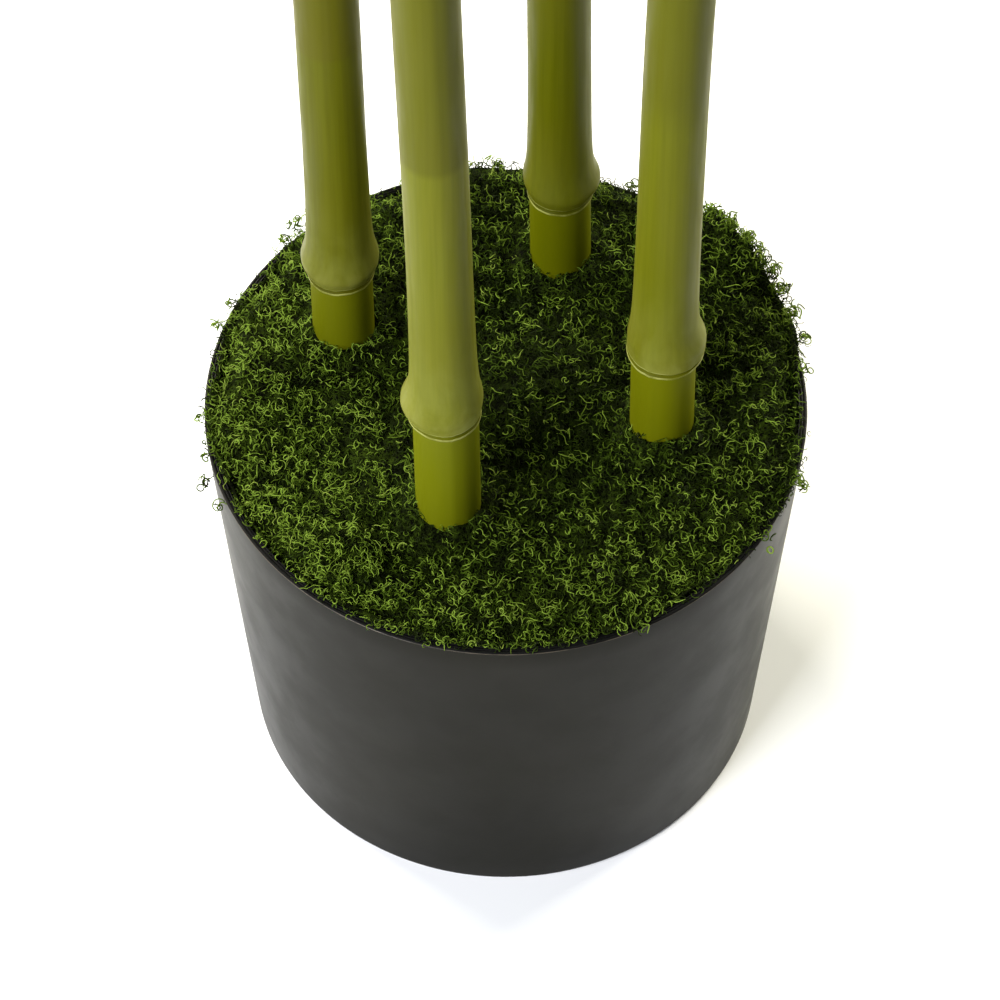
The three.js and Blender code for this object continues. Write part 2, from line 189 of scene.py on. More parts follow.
# Lightness of a fibre, darker the deeper it lies as painted shade: depth of the darkest, span up
# to the lightest, stray, where each green ends, and how many above a lightness are pale
PAINTED_SHADE_DEPTH = 3.4
PAINTED_SHADE_SPAN = 4.6
TONE_STRAY = 0.13
GREEN_ENDS = (0.88, 0.64, 0.4)
PALE_SHARE = 0.06
PALE_FROM = 0.5
# Painted light on the moss, lighter at its left and front sides and darker in its middle:
# direction, where it starts, and how much
PAINTED_LIGHT_SIDES = [((-1, 0), 30, 1), ((0, -1), 30, 0.6), ((1, 0), 30, 0.2), ((0, 1), 20, 0.25)]
PAINTED_LIGHT_WIDTH = 80
PAINTED_LIGHT_MIDDLE = 0.45
PAINTED_LIGHT_RANGE = 0.42
# Edge of the moss on the rim: compass direction, radius, and height above the rim there
MOSS_BRIM = [
    (0, 121.5, 0.5), (8, 123, 1.5), (13, 126.5, 1.5), (17, 128.5, 5.5), (22, 128.5, 4.5),
    (26, 128.5, 6), (30, 129, 11), (34, 129, 14), (39, 129, 16), (43.5, 129, 16.5), (48, 128.5, 12),
    (53, 127.5, 7), (58, 126, 4), (63, 125, 2.5), (66, 125, 3.5), (70, 124.5, 2.5), (78, 124, 3),
    (87, 124, 3.5), (91, 124.5, 6.5), (97, 124.5, 8), (104, 124, 4), (113, 121, 0), (118, 122, 2),
    (125, 122, 1), (132, 125, 4), (137, 125.2, 5), (143, 122.5, 1.5), (149, 121.5, 0.5),
    (156, 125, 2.5), (163, 124.5, 2), (168, 122.5, 0.8), (175, 122.5, 0.5), (183, 125, 2),
    (191, 124.5, 1.5), (198, 122.3, 0.3), (206, 122, -0.2), (214, 121.6, -0.5), (222, 120.6, -1),
    (232, 122.8, 0), (243, 122.8, 0), (252, 123.5, 0.4), (262, 123.2, 0.2), (270, 122.4, -0.2),
    (288, 122.8, 0.3), (296, 123.6, 1.2), (303, 122, -0.2), (310, 121.5, -0.6), (321, 122.4, 0.4),
    (331, 123.4, 1.1), (342, 126, 2), (351, 122.4, 0.6), (360, 121.5, 0.5),
]
BRIM_WIDTH = 14
BRIM_FLAT = 3
# Loose curls: compass direction, radius, height above the rim, spread, and how many
STRAY_CURLS = [
    (132, 125, 9, 2, 4), (135, 127, 7, 2.6, 7), (139, 124.5, 4, 2.5, 7), (156, 127.5, 1.5, 1.4, 3),
    (162, 128, 1.5, 1.8, 5), (183, 127.5, 0, 1.5, 2), (192, 127, -1, 1.5, 3),
    (197, 129.5, -4, 2.2, 7), (342, 127, -0.5, 2, 9), (327, 126.5, -6, 1.8, 3),
    (329, 126.2, -3, 1.5, 2), (296, 125.8, -2.5, 1.5, 4), (92, 124, 3, 4, 9), (98, 124.5, 4, 3, 5),
    (50, 126.5, 7, 3, 10), (46, 128, 10.5, 3, 17), (42, 128.5, 12.5, 3, 17),
    (38, 129, 11.5, 3, 17), (34, 129.7, 9.5, 3, 16), (30, 130, 7, 3, 16), (26, 129.6, 4.5, 3, 13),
    (21, 130, 2.5, 2.6, 9), (15, 129, 1.5, 2.2, 7), (46, 125.5, 12.5, 3, 15),
    (41, 125.5, 15, 3, 15), (36, 126, 14.5, 3, 15), (31, 126, 11.5, 3, 15), (26, 126, 7, 3, 12),
    (20, 126, 4.5, 2.6, 10),
    (8, 125.5, 1, 3, 5), (203, 127.5, -3, 1.2, 4), (342, 128.5, -3, 1.5, 4),
    (64, 126, 1, 3, 8), (110, 124.5, 1, 3, 4),
]

# Canes: place at the rim's level, sideways slant and bow, height of the lowest joint above
# the rim, stretch of the joints' spacing, compass direction of the boughs and of the seam.
# Then its lowest ring: height as seen, how far the stub under it, its bead and its swelling
# stand out, and how much more the swelling stands out to the right than to the left. Last, how
# high the moss is heaped round the foot.
CANES = keyed(
    ("place", "slant", "bow", "joint", "stretch", "facing", "seam",
     "ring", "stub", "bead", "swell", "lean", "mound"),
    [((-67.4, 33.0), -0.004, (-2.0e-5, 1.0e-5), 46.2, 0.97, 155, 212,
      48.2, 0.0, 1.0, 3.3, -0.06, 5.0),
     ((-23.3, -57.9), -0.01, (-2.2e-5, -1.5e-5), 70.0, 0.98, 245, 281,
      73.6, 0.4, 1.8, 3.5, -0.34, 11.0),
     ((23.1, 70.6), -0.0125, (0, 2.0e-5), 52.3, 1.03, 65, 300,
      53.4, -0.1, 0.9, 3.0, 0.26, 6.0),
     ((64.0, -16.6), -0.008, (3.5e-5, -0.8e-5), 56.4, 1.0, 335, 245,
      59.8, 0.3, 2.6, 2.75, 0.34, 9.0)],
)
HIGHER_JOINT = {"stub": 0.0, "bead": 1.2, "swell": 3.2, "lean": 0.2}
JOINT_SPACING = (280, 262, 245, 228, 210)
CANE_FOOT = -150
CANE_RADIUS = 12.9
CANE_TAPER = 0.08
TIP_TAPER = 0.56
TIP_POWER = 5
JOINT_PROUD = 3.4
CANE_SIDES = 50
# Relief of a joint: height above its ring, and the shares of stub, bead, swelling and groove
JOINT_RELIEF = [
    (-14, 1, 0, 0, 0), (-5, 1, 0, 0, 0), (-1.35, 1, 0, 0, 0), (-1.1, 0.4, 0.5, 0, 0),
    (-0.85, 0, 1, 0, 0), (-0.3, 0, 1.1, 0, 0), (0.3, 0, 1, 0, 0), (0.75, 0, 0.95, 0, 0.5),
    (1.2, 0, 0.95, 0.02, 1), (2.0, 0, 0.95, 0.05, 1), (2.5, 0, 0.98, 0.09, 0.4),
    (2.9, 0, 1, 0.13, 0), (3.4, 0, 0.96, 0.18, 0), (4.1, 0, 0.84, 0.28, 0),
    (5.0, 0, 0.66, 0.44, 0), (6.1, 0, 0.45, 0.63, 0), (7.4, 0, 0.27, 0.83, 0),
    (8.8, 0, 0.13, 0.97, 0), (10.4, 0, 0.05, 1, 0), (12.2, 0, 0, 0.92, 0), (14.2, 0, 0, 0.76, 0),
    (17, 0, 0, 0.56, 0), (20.5, 0, 0, 0.39, 0), (25, 0, 0, 0.27, 0), (33, 0, 0, 0.17, 0),
    (45, 0, 0, 0.1, 0), (62, 0, 0, 0.05, 0), (84, 0, 0, 0.01, 0),
]
GROOVE_DEPTH = 0.6
# Rows of the relief, by the height they start at, that are worn light, partly as a painted
# highlight on the bead and lip, or lie in the groove, where painted shade darkens them
WORN_AND_HIGHLIGHT_ROWS = (-1.1, -0.85, -0.3, 2.5, 2.9)
GROOVE_SHADE_ROWS = (0.3, 0.75, 1.2)
JOINT_PHASE = 1.9
JOINT_WAVE = 0.35
JOINT_WAVE_REACH = 9
FINE_WAVE = 0.12
SWELL_MIDDLE = 7
SWELL_REACH = 10
SWELL_OVAL = 0.05
RELIEF_REACH = 4
INTERNODE_STEP = 24
SEAM_PROUD = 0.22
SEAM_WIDTH = 0.05
BACK_SEAM = 0.8
CANE_UNEVEN = 0.12
UNEVEN_LENGTH = 37
UNEVEN_TURN = 90
# Rows at a cane's tip, measured down from it, the last plain row, and how it is rounded
TIP_ROWS = (6, 2.5, 0.9, 0.2)
TIP_CLEAR = 8
TIP_ROUND = 6
TIP_CLOSED = 0.92
# Dusty bloom round a joint, partly painted light on the shaded underside of its swelling:
# height above its ring, and share
BLOOM_AND_LIGHT_AT_JOINT = [(1.8, 0), (2.4, 1.0), (5, 1.0), (9, 0.55), (20, 0.35), (60, 0)]
RAMP_REACH = 1700
CLOUD_SHARE = 0.3
# Tones of the four canes, and the heights above the floor that their bands run between
CANE_TONES = keyed(
    ("main", "shade", "warm", "bloom_and_light", "change", "upper", "stub", "foot"),
    [(linear(80, 82, 6), linear(66, 67, 2), linear(85, 84, 12), 0.55, (388, 392),
      linear(77, 74, 11), linear(84, 88, 5), (243, 243.6)),
     (linear(94, 97, 18), linear(81, 84, 8), linear(98, 97, 25), 0.85, (430, 436),
      linear(72, 71, 8), linear(89, 94, 3), (266.6, 267.2)),
     (linear(74, 77, 2), linear(62, 65, 1), linear(78, 76, 7), 0.2, (330, 420),
      linear(76, 76, 7), linear(77, 81, 1), (249, 249.6)),
     (linear(89, 92, 11), linear(78, 80, 5), linear(92, 90, 18), 0.5, (400, 430),
      linear(76, 76, 12), linear(90, 94, 2), (253, 253.6))],
)

# Boughs
BOUGH_JOINTS = (2, 3, 4)
BOUGH_TURN = ((-22, 23), (0, 45), (-23, 22))
BOUGH_ABOVE_RING = 13
BOUGH_STAGGER = 5
BOUGH_LENGTH = (135, 125, 100)
BOUGH_RISE = (48, 50, 54)
BOUGH_LEVEL_OFF = 9
BOUGH_RADIUS = 3.2
BOUGH_TIP_RADIUS = 2.1
BOUGH_SIDES = 10
BOUGH_STATIONS = 44
BOUGH_NODES = 4
COLLAR_PROUD = 2.4
COLLAR_LENGTH = 4.5
NODE_PROUD = 0.28
NODE_WIDTH = 0.022

# Masses of leaves
STEM_LENGTH = (165, 165, 150)
STEM_SAG = (0.42, 0.36, 0.24)
TOP_STEM_LENGTH = 120
TOP_STEM_RISE = 86
TOP_STEM_SAG = -0.1
STEM_RADIUS = 2.5
STEM_TIP_RADIUS = 1.9
STEM_NODES = 6
TWIGS = 5
FIRST_TWIG = 0.14
LAST_TWIG = 0.9
TWIG_TURN = 137.5
TWIG_LENGTH = 80
TWIG_SPREAD = 50
TWIG_RADIUS = 1.7
TWIG_TIP_RADIUS = 1.3
LEAF_LENGTH = 168
LEAF_WIDTH = 28
LEAF_WIDEST = 0.36
LEAF_SAG = 0.42
LEAF_SPREAD = 36
LEAF_LOOSE_YAW = 16
LEAF_LOOSE_PITCH = 22
LEAF_ROLL = 28
MIDDLE_OF_MASS = 0.6
LEAF_APART = 12
LEAF_CHECKS = 14
BOUGH_CHECKS = 24
LIMB_CLEARANCE = 3
SPACE_MARGIN = 2
TRIES = 8
SEED = 7301
SEED_STEP = 97
# Trial leaves and twigs of the source's rule: how they stray, and how each trial gives way
LEAF_LOOSER = 0.25
LEAF_STRAY = 0.06
LEAF_SHORTER = 0.06
LEAF_DROP = 3
TAKEN_PLACES = (0.3, 1, 0.08)
TWIG_OPEN_STRAY = 12
TWIG_ROLL_STRAY = 30
TWIG_STRAY = 0.2
TWIG_SHORTER = 0.07
TWIG_CHECKS = (0.35, 0.7, 1)
END_LEAF_AT = 0.98
TWIG_LEAF_AT = 0.6
STEM_LEAVES = ((0.5, -1), (0.78, 1))

# Outline of the whole crown: height above the rim, and radius from the pot's axis
CROWN_OUTLINE = [
    (540, 60), (600, 200), (700, 330), (820, 405), (960, 440), (1150, 445),
    (1320, 390), (1470, 285), (1610, 130),
]

# Sprays: each stands where the source has one large leaf
SPRAY_SEED = 911
SPRAY_TWIG = 0.44
SPRAY_LEAVES = 7
SPRAY_FIRST = 0.08
SPRAY_OPEN = 56
SPRAY_CLOSE = 30
SPRAY_TWIG_RADIUS = (0.95, 0.5)
SPRAY_TWIG_POINTS = 6
SPRAY_TWIG_SIDES = 5
SPRAY_TWIG_LIFT = 1.2
SPRAY_LAST_SHORT = 0.03
SPRAY_STEP = 0.04
SPRAY_GREEN_KEPT = 0.8
SPRAY_LENGTHS = (0.8, 0.2)
SPRAY_LENGTH_TURN = (0.25, 0.6)
SPRAY_LENGTH_STRAY = 0.12
SPRAY_END_LONGER = 1.02
SINGLE_LENGTHS = (0.86, 0.22)
SINGLE_OPEN = 48
STEM_SINGLES = (0.22, 0.33, 0.44, 0.58, 0.68, 0.86)
TWIG_SINGLES = (0.3, 0.5, 0.82)
SPRAY_TRIES = 5
LEAF_REACH = 3
# A leaf of real size: angles in radians, lengths as shares, and what each trial takes off
YAW_STRAY = 0.16
YAW_LESS = 0.15
PITCH_STRAY = 0.26
PITCH_DOWN = 0.05
LENGTH_LESS = 0.09
DROOP = (0.28, 0.34)
DROOP_LESS = 0.04
SPINE_CHECKS = (0.25, 0.6, 1.0)
WIDTH_AT_LENGTH = 110
WIDTH_STRAY = 0.14
ROLL_STRAY = 0.55
TWIST_STRAY = 0.35
FOLD = (0.2, 0.22)
# Points and sides of stems and twigs, how thin their tips are, and how twigs bow
STEM_POINTS, STEM_SIDES, STEM_TIP = 36, 9, 0.7
TWIG_POINTS, TWIG_SIDES, TWIG_TIP = 14, 7, 0.75
TWIG_NODES = 3
TWIG_BOW = 2.2

# Outline of a leaf: place along it, width and thickness, as shares of the widest and thickest
LEAF_STATIONS = [
    (0, 0.07, 1.0), (0.03, 0.075, 0.95), (0.07, 0.34, 0.8), (0.15, 0.74, 0.7), (0.28, 0.97, 0.62),
    (0.42, 1.0, 0.56), (0.57, 0.9, 0.5), (0.72, 0.68, 0.45), (0.86, 0.38, 0.4), (0.95, 0.16, 0.35),
    (1, 0.015, 0.3),
]
LEAF_THICKNESS = 0.9
THICKNESS_AT_WIDTH = 14

# Camera and light
CAMERA_PLACE = (-2.42, -1231.2, 1864.8)
CAMERA_TILT = 35.325
CAMERA_LENS = 180
CAMERA_SENSOR = 36
CAMERA_CLIP = 40
FLOOR_SIZE = 14.0
WHITE = (1, 1, 1)
POT_AIM = (0, 0, 0.25)
CROWN_AIM = (0, 0, 1.42)
# Lights, in metres: name, place, aim, size, setting of the power, tint, and spread in degrees
LIGHTS = [
    ("key", (-1.2, -1.3, 1.3), POT_AIM, 1.1, "key_power", WHITE, 180),
    ("back_left", (-1.2, 1.2, 0.9), POT_AIM, 1.0, "back_left_power", (1, 0.945, 0.79), 180),
    ("back_right", (1.3, 1.2, 0.8), POT_AIM, 0.9, "back_right_power", (1, 0.95, 0.77), 180),
    ("crown_left", (-1.5, -1.9, 1.95), CROWN_AIM, 0.6, "crown_power", WHITE, 26),
    ("crown_right", (1.6, 1.8, 1.95), CROWN_AIM, 0.6, "crown_power", WHITE, 26),
]

STEEP = 0.85
STEEP_LEAF = 0.97
UP = np.array((0.0, 0.0, 1.0))
SIDEWAYS = np.array((1.0, 0.0, 0.0))


# Small vector sums

def cross(a, b):
    return np.array((
        a[1] * b[2] - a[2] * b[1],
        a[2] * b[0] - a[0] * b[2],
        a[0] * b[1] - a[1] * b[0],
    ))


def unit(v):
    return v / math.sqrt(v @ v)


def units(rows):
    """Every row of an array of vectors, made one long."""
    return rows / np.linalg.norm(rows, axis=-1, keepdims=True)


def rotated(v, axis, angle):
    """v turned about an axis through the origin."""
    c, s = math.cos(angle), math.sin(angle)
    return v * c + cross(axis, v) * s + axis * (axis @ v) * (1 - c)


def steep_reference(direction):
    return UP if abs(direction[2]) < STEEP else SIDEWAYS


def heading(azimuth, elevation):
    flat = math.cos(elevation)
    return np.array((math.cos(azimuth) * flat, math.sin(azimuth) * flat, math.sin(elevation)))


def lowered(direction, sag):
    return unit(direction - UP * sag)


def turned(direction, yaw, pitch):
    """A direction turned sideways by one angle and then up by another."""
    across = unit(cross(direction, steep_reference(direction)))
    over = unit(cross(across, direction))
    return unit(rotated(rotated(direction, over, yaw), across, pitch))


class Bend:
    """A curve from a start along one direction and on along another."""

    def __init__(self, start, direction, end_direction, length):
        self.start = start
        self.middle = start + direction * (length / 2)
        self.end = self.middle + end_direction * (length / 2)

    def point(self, t):
        rest = 1 - t
        return self.start * rest * rest + self.middle * 2 * rest * t + self.end * t * t

    def tangent(self, t, step=1e-4):
        return unit(self.point(min(1, t + step)) - self.point(max(0, t - step)))


class Random:
    """The source's own random numbers, the same on every run."""

    def __init__(self, seed):
        self.state = seed & 0xFFFFFFFF

    def number(self):
        self.state = (self.state * 1664525 + 1013904223) & 0xFFFFFFFF
        return self.state / 4294967296

    def spread(self, amount):
        return (self.number() * 2 - 1) * amount


# Meshes

class Gathered:
    """Points and faces gathered for one joined piece."""

    def __init__(self):
        self.points, self.faces, self.slots, self.count = [], [], [], 0

    def add(self, points, face_lists, slots=0):
        """Adds a body. A slot is one number, or one for each face of the first list."""
        self.points.append(points)
        for faces in face_lists:
            self.faces.append(faces + self.count)
            if np.ndim(slots) and len(slots) != len(faces):
                each = len(slots) // len(faces)
                self.slots.append(np.asarray(slots)[::each][:len(faces)])
            else:
                self.slots.append(np.broadcast_to(slots, len(faces)))
        self.count += len(points)

    def piece(self, name, materials, slot, nodes=(), sharp=None):
        """Makes the object, lets it ride on the root and stand for its CAD nodes."""
        mesh = bpy.data.meshes.new(name)
        points = (np.concatenate(self.points) / MM_PER_M).astype(np.float32)
        corners = np.concatenate([faces.ravel() for faces in self.faces]).astype(np.int32)
        sizes = np.concatenate([np.full(len(f), f.shape[1], np.int32) for f in self.faces])
        starts = np.concatenate([[0], np.cumsum(sizes)[:-1]]).astype(np.int32)
        mesh.vertices.add(len(points))
        mesh.vertices.foreach_set("co", points.ravel())
        mesh.loops.add(len(corners))
        mesh.loops.foreach_set("vertex_index", corners)
        mesh.polygons.add(len(sizes))
        mesh.polygons.foreach_set("loop_start", starts)
        mesh.polygons.foreach_set("material_index", np.concatenate(self.slots).astype(np.int32))
        mesh.polygons.foreach_set("use_smooth", np.ones(len(sizes), bool))
        mesh.update(calc_edges=True)
        mesh.validate()
        if sharp is not None:
            mesh.set_sharp_from_angle(angle=math.radians(sharp))
        for material in materials:
            mesh.materials.append(material)
        piece = bpy.data.objects.new(name, mesh)
        bpy.context.scene.collection.objects.link(piece)
        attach(piece, BODY)
        if nodes:
            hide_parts(*nodes)
        return piece


def ring_faces(count, rings, sides):
    """Faces of count bodies, each of so many rings with so many sides, closed at both ends."""
    body = np.arange(count)[:, None, None] * rings * sides
    ring = np.arange(rings - 1)[None, :, None] * sides
    side = np.arange(sides)[None, None, :]
    onward = (side + 1) % sides
    low, low_next = body + ring + side, body + ring + onward
    quads = np.stack([low, low_next, low_next + sides, low + sides], axis=-1).reshape(-1, 4)
    body = body[:, :, 0]
    foot = body + np.arange(sides)[::-1][None, :]
    tip = body + (rings - 1) * sides + np.arange(sides)[None, :]
    return [quads, foot, tip]


def face_slots(per_body, rings, sides):
    """One slot for each side face of each body."""
    return np.repeat(per_body, (rings - 1) * sides)


def tubes(paths, radii, sides, reference):
    """Rings round a batch of paths. reference is a direction off the run, at every point."""
    ahead = units(np.gradient(paths, axis=1))
    across = units(np.cross(ahead, reference))
    over = np.cross(ahead, across)
    turn = turns(sides)
    around = (
        across[:, :, None, :] * np.cos(turn)[None, None, :, None]
        + over[:, :, None, :] * np.sin(turn)[None, None, :, None]
    )
    rings = paths[:, :, None, :] + around * radii[:, :, None, None]
    return rings.reshape(-1, 3), ring_faces(len(paths), paths.shape[1], sides)


def add_limb(gathered, path, radii, sides, slot=0):
    """One tube along a path of any number of points."""
    run = unit(path[-1] - path[0])
    points, faces = tubes(path[None], radii[None], sides, steep_reference(run)[None, None])
    gathered.add(points, faces, slot)


def turns(sides):
    """Directions of a ring's points, in radians."""
    return np.arange(sides) * 2 * math.pi / sides


def turned_rings(profile, sides):
    """Rings of a profile of radii and heights turned round the vertical axis."""
    radius, height = np.array(profile, float).T
    turn = turns(sides)
    return np.stack(np.broadcast_arrays(
        radius[:, None] * np.cos(turn), radius[:, None] * np.sin(turn), height[:, None]
    ), axis=-1)


# Materials

class Paint:
    """A node material and the few node patterns that the finishes are made of."""

    def __init__(self, name, colour, roughness, specular=0.5):
        self.material = bpy.data.materials.new(name)
        self.material.use_nodes = True
        self.nodes = self.material.node_tree.nodes
        self.links = self.material.node_tree.links
        self.shader = self.nodes["Principled BSDF"]
        self.shader.inputs["Base Color"].default_value = colour
        self.shader.inputs["Roughness"].default_value = roughness
        self.shader.inputs["Specular IOR Level"].default_value = specular
        self.place = self.nodes.new("ShaderNodeTexCoord").outputs["Object"]

    def scaled(self, x, y, z):
        node = self.nodes.new("ShaderNodeMapping")
        node.inputs["Scale"].default_value = (x, y, z)
        self.links.new(self.place, node.inputs["Vector"])
        return node.outputs["Vector"]

    def noise(self, scale, detail=3.0, rough=0.5, stretch=(1, 1, 1), distortion=0.0):
        node = self.nodes.new("ShaderNodeTexNoise")
        node.inputs["Scale"].default_value = scale
        node.inputs["Detail"].default_value = detail
        node.inputs["Roughness"].default_value = rough
        node.inputs["Distortion"].default_value = distortion
        self.links.new(self.scaled(*stretch), node.inputs["Vector"])
        return node.outputs["Fac"]

    def ranged(self, value, low, high, out_low=0.0, out_high=1.0):
        node = self.nodes.new("ShaderNodeMapRange")
        node.interpolation_type = "SMOOTHSTEP"
        for name, number in (("From Min", low), ("From Max", high),
                             ("To Min", out_low), ("To Max", out_high)):
            node.inputs[name].default_value = number
        self.links.new(value, node.inputs["Value"])
        return node.outputs["Result"]

    def product(self, one, other, operation="MULTIPLY"):
        node = self.nodes.new("ShaderNodeMath")
        node.operation = operation
        for socket, value in zip(node.inputs, (one, other)):
            if isinstance(value, (int, float)):
                socket.default_value = value
            else:
                self.links.new(value, socket)
        return node.outputs[0]

    def veins(self, scale, warp_scale, warp):
        """A net of thin curling lines, 1 on a line and falling to 0 beside it."""
        bend = self.nodes.new("ShaderNodeTexNoise")
        bend.inputs["Scale"].default_value = warp_scale
        self.links.new(self.place, bend.inputs["Vector"])
        away = self.nodes.new("ShaderNodeVectorMath")
        away.operation = "MULTIPLY_ADD"
        away.inputs[1].default_value = (warp, warp, warp)
        self.links.new(bend.outputs["Color"], away.inputs[0])
        self.links.new(self.place, away.inputs[2])
        node = self.nodes.new("ShaderNodeTexVoronoi")
        node.feature = "DISTANCE_TO_EDGE"
        node.inputs["Scale"].default_value = scale
        self.links.new(away.outputs[0], node.inputs["Vector"])
        return self.ranged(node.outputs["Distance"], 0.03, 0.17, 1.0, 0.0)

    def height(self):
        node = self.nodes.new("ShaderNodeSeparateXYZ")
        self.links.new(self.place, node.inputs["Vector"])
        return node.outputs["Z"]

    def stepped(self, value, stops):
        """A grey scale that runs through stops of height above the floor, in mm, and share."""
        node = self.nodes.new("ShaderNodeValToRGB")
        span = POT_HEIGHT + RAMP_REACH
        elements = node.color_ramp.elements
        elements[0].position, elements[1].position = 0, 1
        elements[0].color = elements[1].color = (0, 0, 0, 1)
        for height, share in sorted(stops):
            element = elements.new((POT_HEIGHT + height) / span)
            element.color = (share, share, share, 1)
        self.links.new(self.product(value, 1 / (span / MM_PER_M)), node.inputs["Fac"])
        return node.outputs["Color"]

    def mixed(self, factor, one, other):
        node = self.nodes.new("ShaderNodeMix")
        node.data_type = "RGBA"
        self.links.new(factor, node.inputs["Factor"])
        for socket, value in ((node.inputs[6], one), (node.inputs[7], other)):
            if isinstance(value, tuple):
                socket.default_value = value
            else:
                self.links.new(value, socket)
        return node.outputs[2]

    def coloured(self, colour):
        self.links.new(colour, self.shader.inputs["Base Color"])

    def roughened(self, low, high, *pattern):
        """Roughness that wanders between two values in a noise pattern."""
        value = self.ranged(self.noise(*pattern), 0.3, 0.7, low, high)
        self.links.new(value, self.shader.inputs["Roughness"])

    def bumped(self, value, depth_mm, strength=1.0):
        """Bump on top of any bump that is there already."""
        node = self.nodes.new("ShaderNodeBump")
        node.inputs["Strength"].default_value = strength
        node.inputs["Distance"].default_value = depth_mm / MM_PER_M
        self.links.new(value, node.inputs["Height"])
        normal = self.shader.inputs["Normal"]
        if normal.is_linked:
            self.links.new(normal.links[0].from_socket, node.inputs["Normal"])
        self.links.new(node.outputs["Normal"], normal)


def toned(colour, factor):
    """A colour made lighter or darker."""
    return tuple(min(1, c * factor) for c in colour[:3]) + (1.0,)


def wall_paint(look):
    """Satin moulded plastic in a warm dark grey, very faintly mottled."""
    colour = tuple(look.wall_colour)
    paint = Paint("pot_wall", colour, look.wall_roughness, look.wall_gloss)
    cloud = paint.ranged(paint.noise(16, 4, 0.6), 0.3, 0.72)
    speck = paint.ranged(paint.noise(420, 3, 0.7), 0.52, 0.78)
    soft = paint.mixed(cloud, toned(colour, 0.8), colour)
    paint.coloured(paint.mixed(paint.product(speck, 0.4), soft, toned(colour, 1.35)))
    paint.roughened(look.wall_roughness - 0.03, look.wall_roughness + 0.05, 34, 4, 0.6)
    paint.bumped(paint.noise(800, 3, 0.6), 0.03, 0.3)
    return paint.material


def rim_paint(look):
    """Black plastic of the rim band, a little worn in patches."""
    colour = tuple(look.rim_colour)
    paint = Paint("rim_band", colour, 0.5, 0.12)
    worn = paint.ranged(paint.noise(130, 4, 0.65), 0.5, 0.8)
    paint.coloured(paint.mixed(worn, colour, toned(colour, 1.8)))
    paint.roughened(0.42, 0.6, 90, 3, 0.5)
    paint.bumped(paint.noise(700, 2, 0.5), 0.05, 0.3)
    return paint.material


def edge_highlight_paint(look):
    """Thin tan painted highlight along the rounded edges of the rim and the foot, broken in
    patches.
    """
    colour = tuple(look.edge_highlight_colour)
    paint = Paint("worn_edge", colour, 0.5, 0.2)
    highlight_patches = paint.ranged(paint.noise(70, 4, 0.6), 0.4, 0.62)
    paint.coloured(paint.mixed(highlight_patches, toned(colour, 0.35), colour))
    paint.roughened(0.42, 0.6, 200, 2, 0.5)
    paint.bumped(paint.noise(500, 2, 0.5), 0.05, 0.3)
    return paint.material


def cement_paint():
    """Rough grey cement under the moss."""
    paint = Paint("cement", linear(128, 126, 120), 0.92, 0.3)
    grain = paint.ranged(paint.noise(260, 5, 0.7), 0.35, 0.7)
    paint.coloured(paint.mixed(grain, linear(96, 94, 88), linear(150, 148, 140)))
    paint.roughened(0.86, 0.98, 90, 3, 0.5)
    paint.bumped(grain, 0.6, 0.7)
    return paint.material


def bed_paint():
    """Mat of packed fibres that the moss's curls stand in, nearly black between its lines as
    painted shade deep in the moss.
    """
    paint = Paint("moss_base", linear(22, 30, 8), 0.9, 0.03)
    fine = paint.veins(520, 330, 0.004)
    wide = paint.veins(340, 260, 0.005)
    lines = paint.product(fine, wide, "MAXIMUM")
    deep = paint.ranged(paint.noise(150, 3, 0.6), 0.36, 0.62, 0.15, 1.0)
    # Nearly black between the lines, and the lines dimmer in patches: painted shade deep between
    # the fibres
    paint.coloured(paint.mixed(paint.product(lines, deep), linear(3, 4, 1), linear(40, 53, 9)))
    paint.roughened(0.8, 0.95, 150, 2, 0.5)
    paint.bumped(lines, 0.7, 0.8)
    return paint.material


def fibre_paint(name, colour):
    """One plain green of the moss's curly fibres."""
    paint = Paint(name, colour, 0.65, 0.05)
    paint.roughened(0.52, 0.74, 300, 2, 0.5)
    paint.bumped(paint.noise(2600, 2, 0.5), 0.05, 0.3)
    return paint.material


def cane_paint(name, look, tone, rings):
    """Printed satin plastic: fine streaks along the cane, and a dusty bloom at its joints that is
    partly painted light on the swellings.
    """
    paint = Paint(name, tone["main"], look.roughness, 0.05)
    streak = paint.ranged(paint.noise(1, 4, 0.6, (520, 520, 9)), 0.34, 0.68)
    cloud = paint.ranged(paint.noise(1, 4, 0.55, (46, 46, 15), 0.4), 0.36, 0.68)
    body = paint.mixed(paint.product(streak, 0.5), tone["main"], tone["shade"])
    body = paint.mixed(paint.product(cloud, CLOUD_SHARE), body, tone["warm"])
    # Bloom round each joint, partly painted light that lightens the swelling's shaded underside
    joints = paint.stepped(paint.height(), [
        (ring + up, share) for ring in rings for up, share in BLOOM_AND_LIGHT_AT_JOINT
    ])
    patchy = paint.ranged(paint.noise(1, 4, 0.6, (90, 90, 40), 0.5), 0.3, 0.66, 0.25, 1.0)
    body = paint.mixed(paint.product(paint.product(joints, patchy), tone["bloom_and_light"]), body,
                       tuple(look.bloom_and_light_colour))
    upper = paint.ranged(paint.height(), *[h / MM_PER_M for h in tone["change"]])
    body = paint.mixed(paint.product(upper, 0.55), body, tone["upper"])
    stub = paint.ranged(paint.height(), *[h / MM_PER_M for h in tone["foot"]], 1.0, 0.0)
    paint.coloured(paint.mixed(paint.product(stub, 0.8), body, tone["stub"]))
    paint.roughened(look.roughness - 0.05, look.roughness + 0.1, 1, 3, 0.5, (240, 240, 30))
    paint.bumped(paint.noise(1, 3, 0.6, (700, 700, 12)), 0.05, 0.35)
    paint.bumped(paint.noise(1, 3, 0.5, (120, 120, 34)), 0.16, 0.25)
    return paint.material


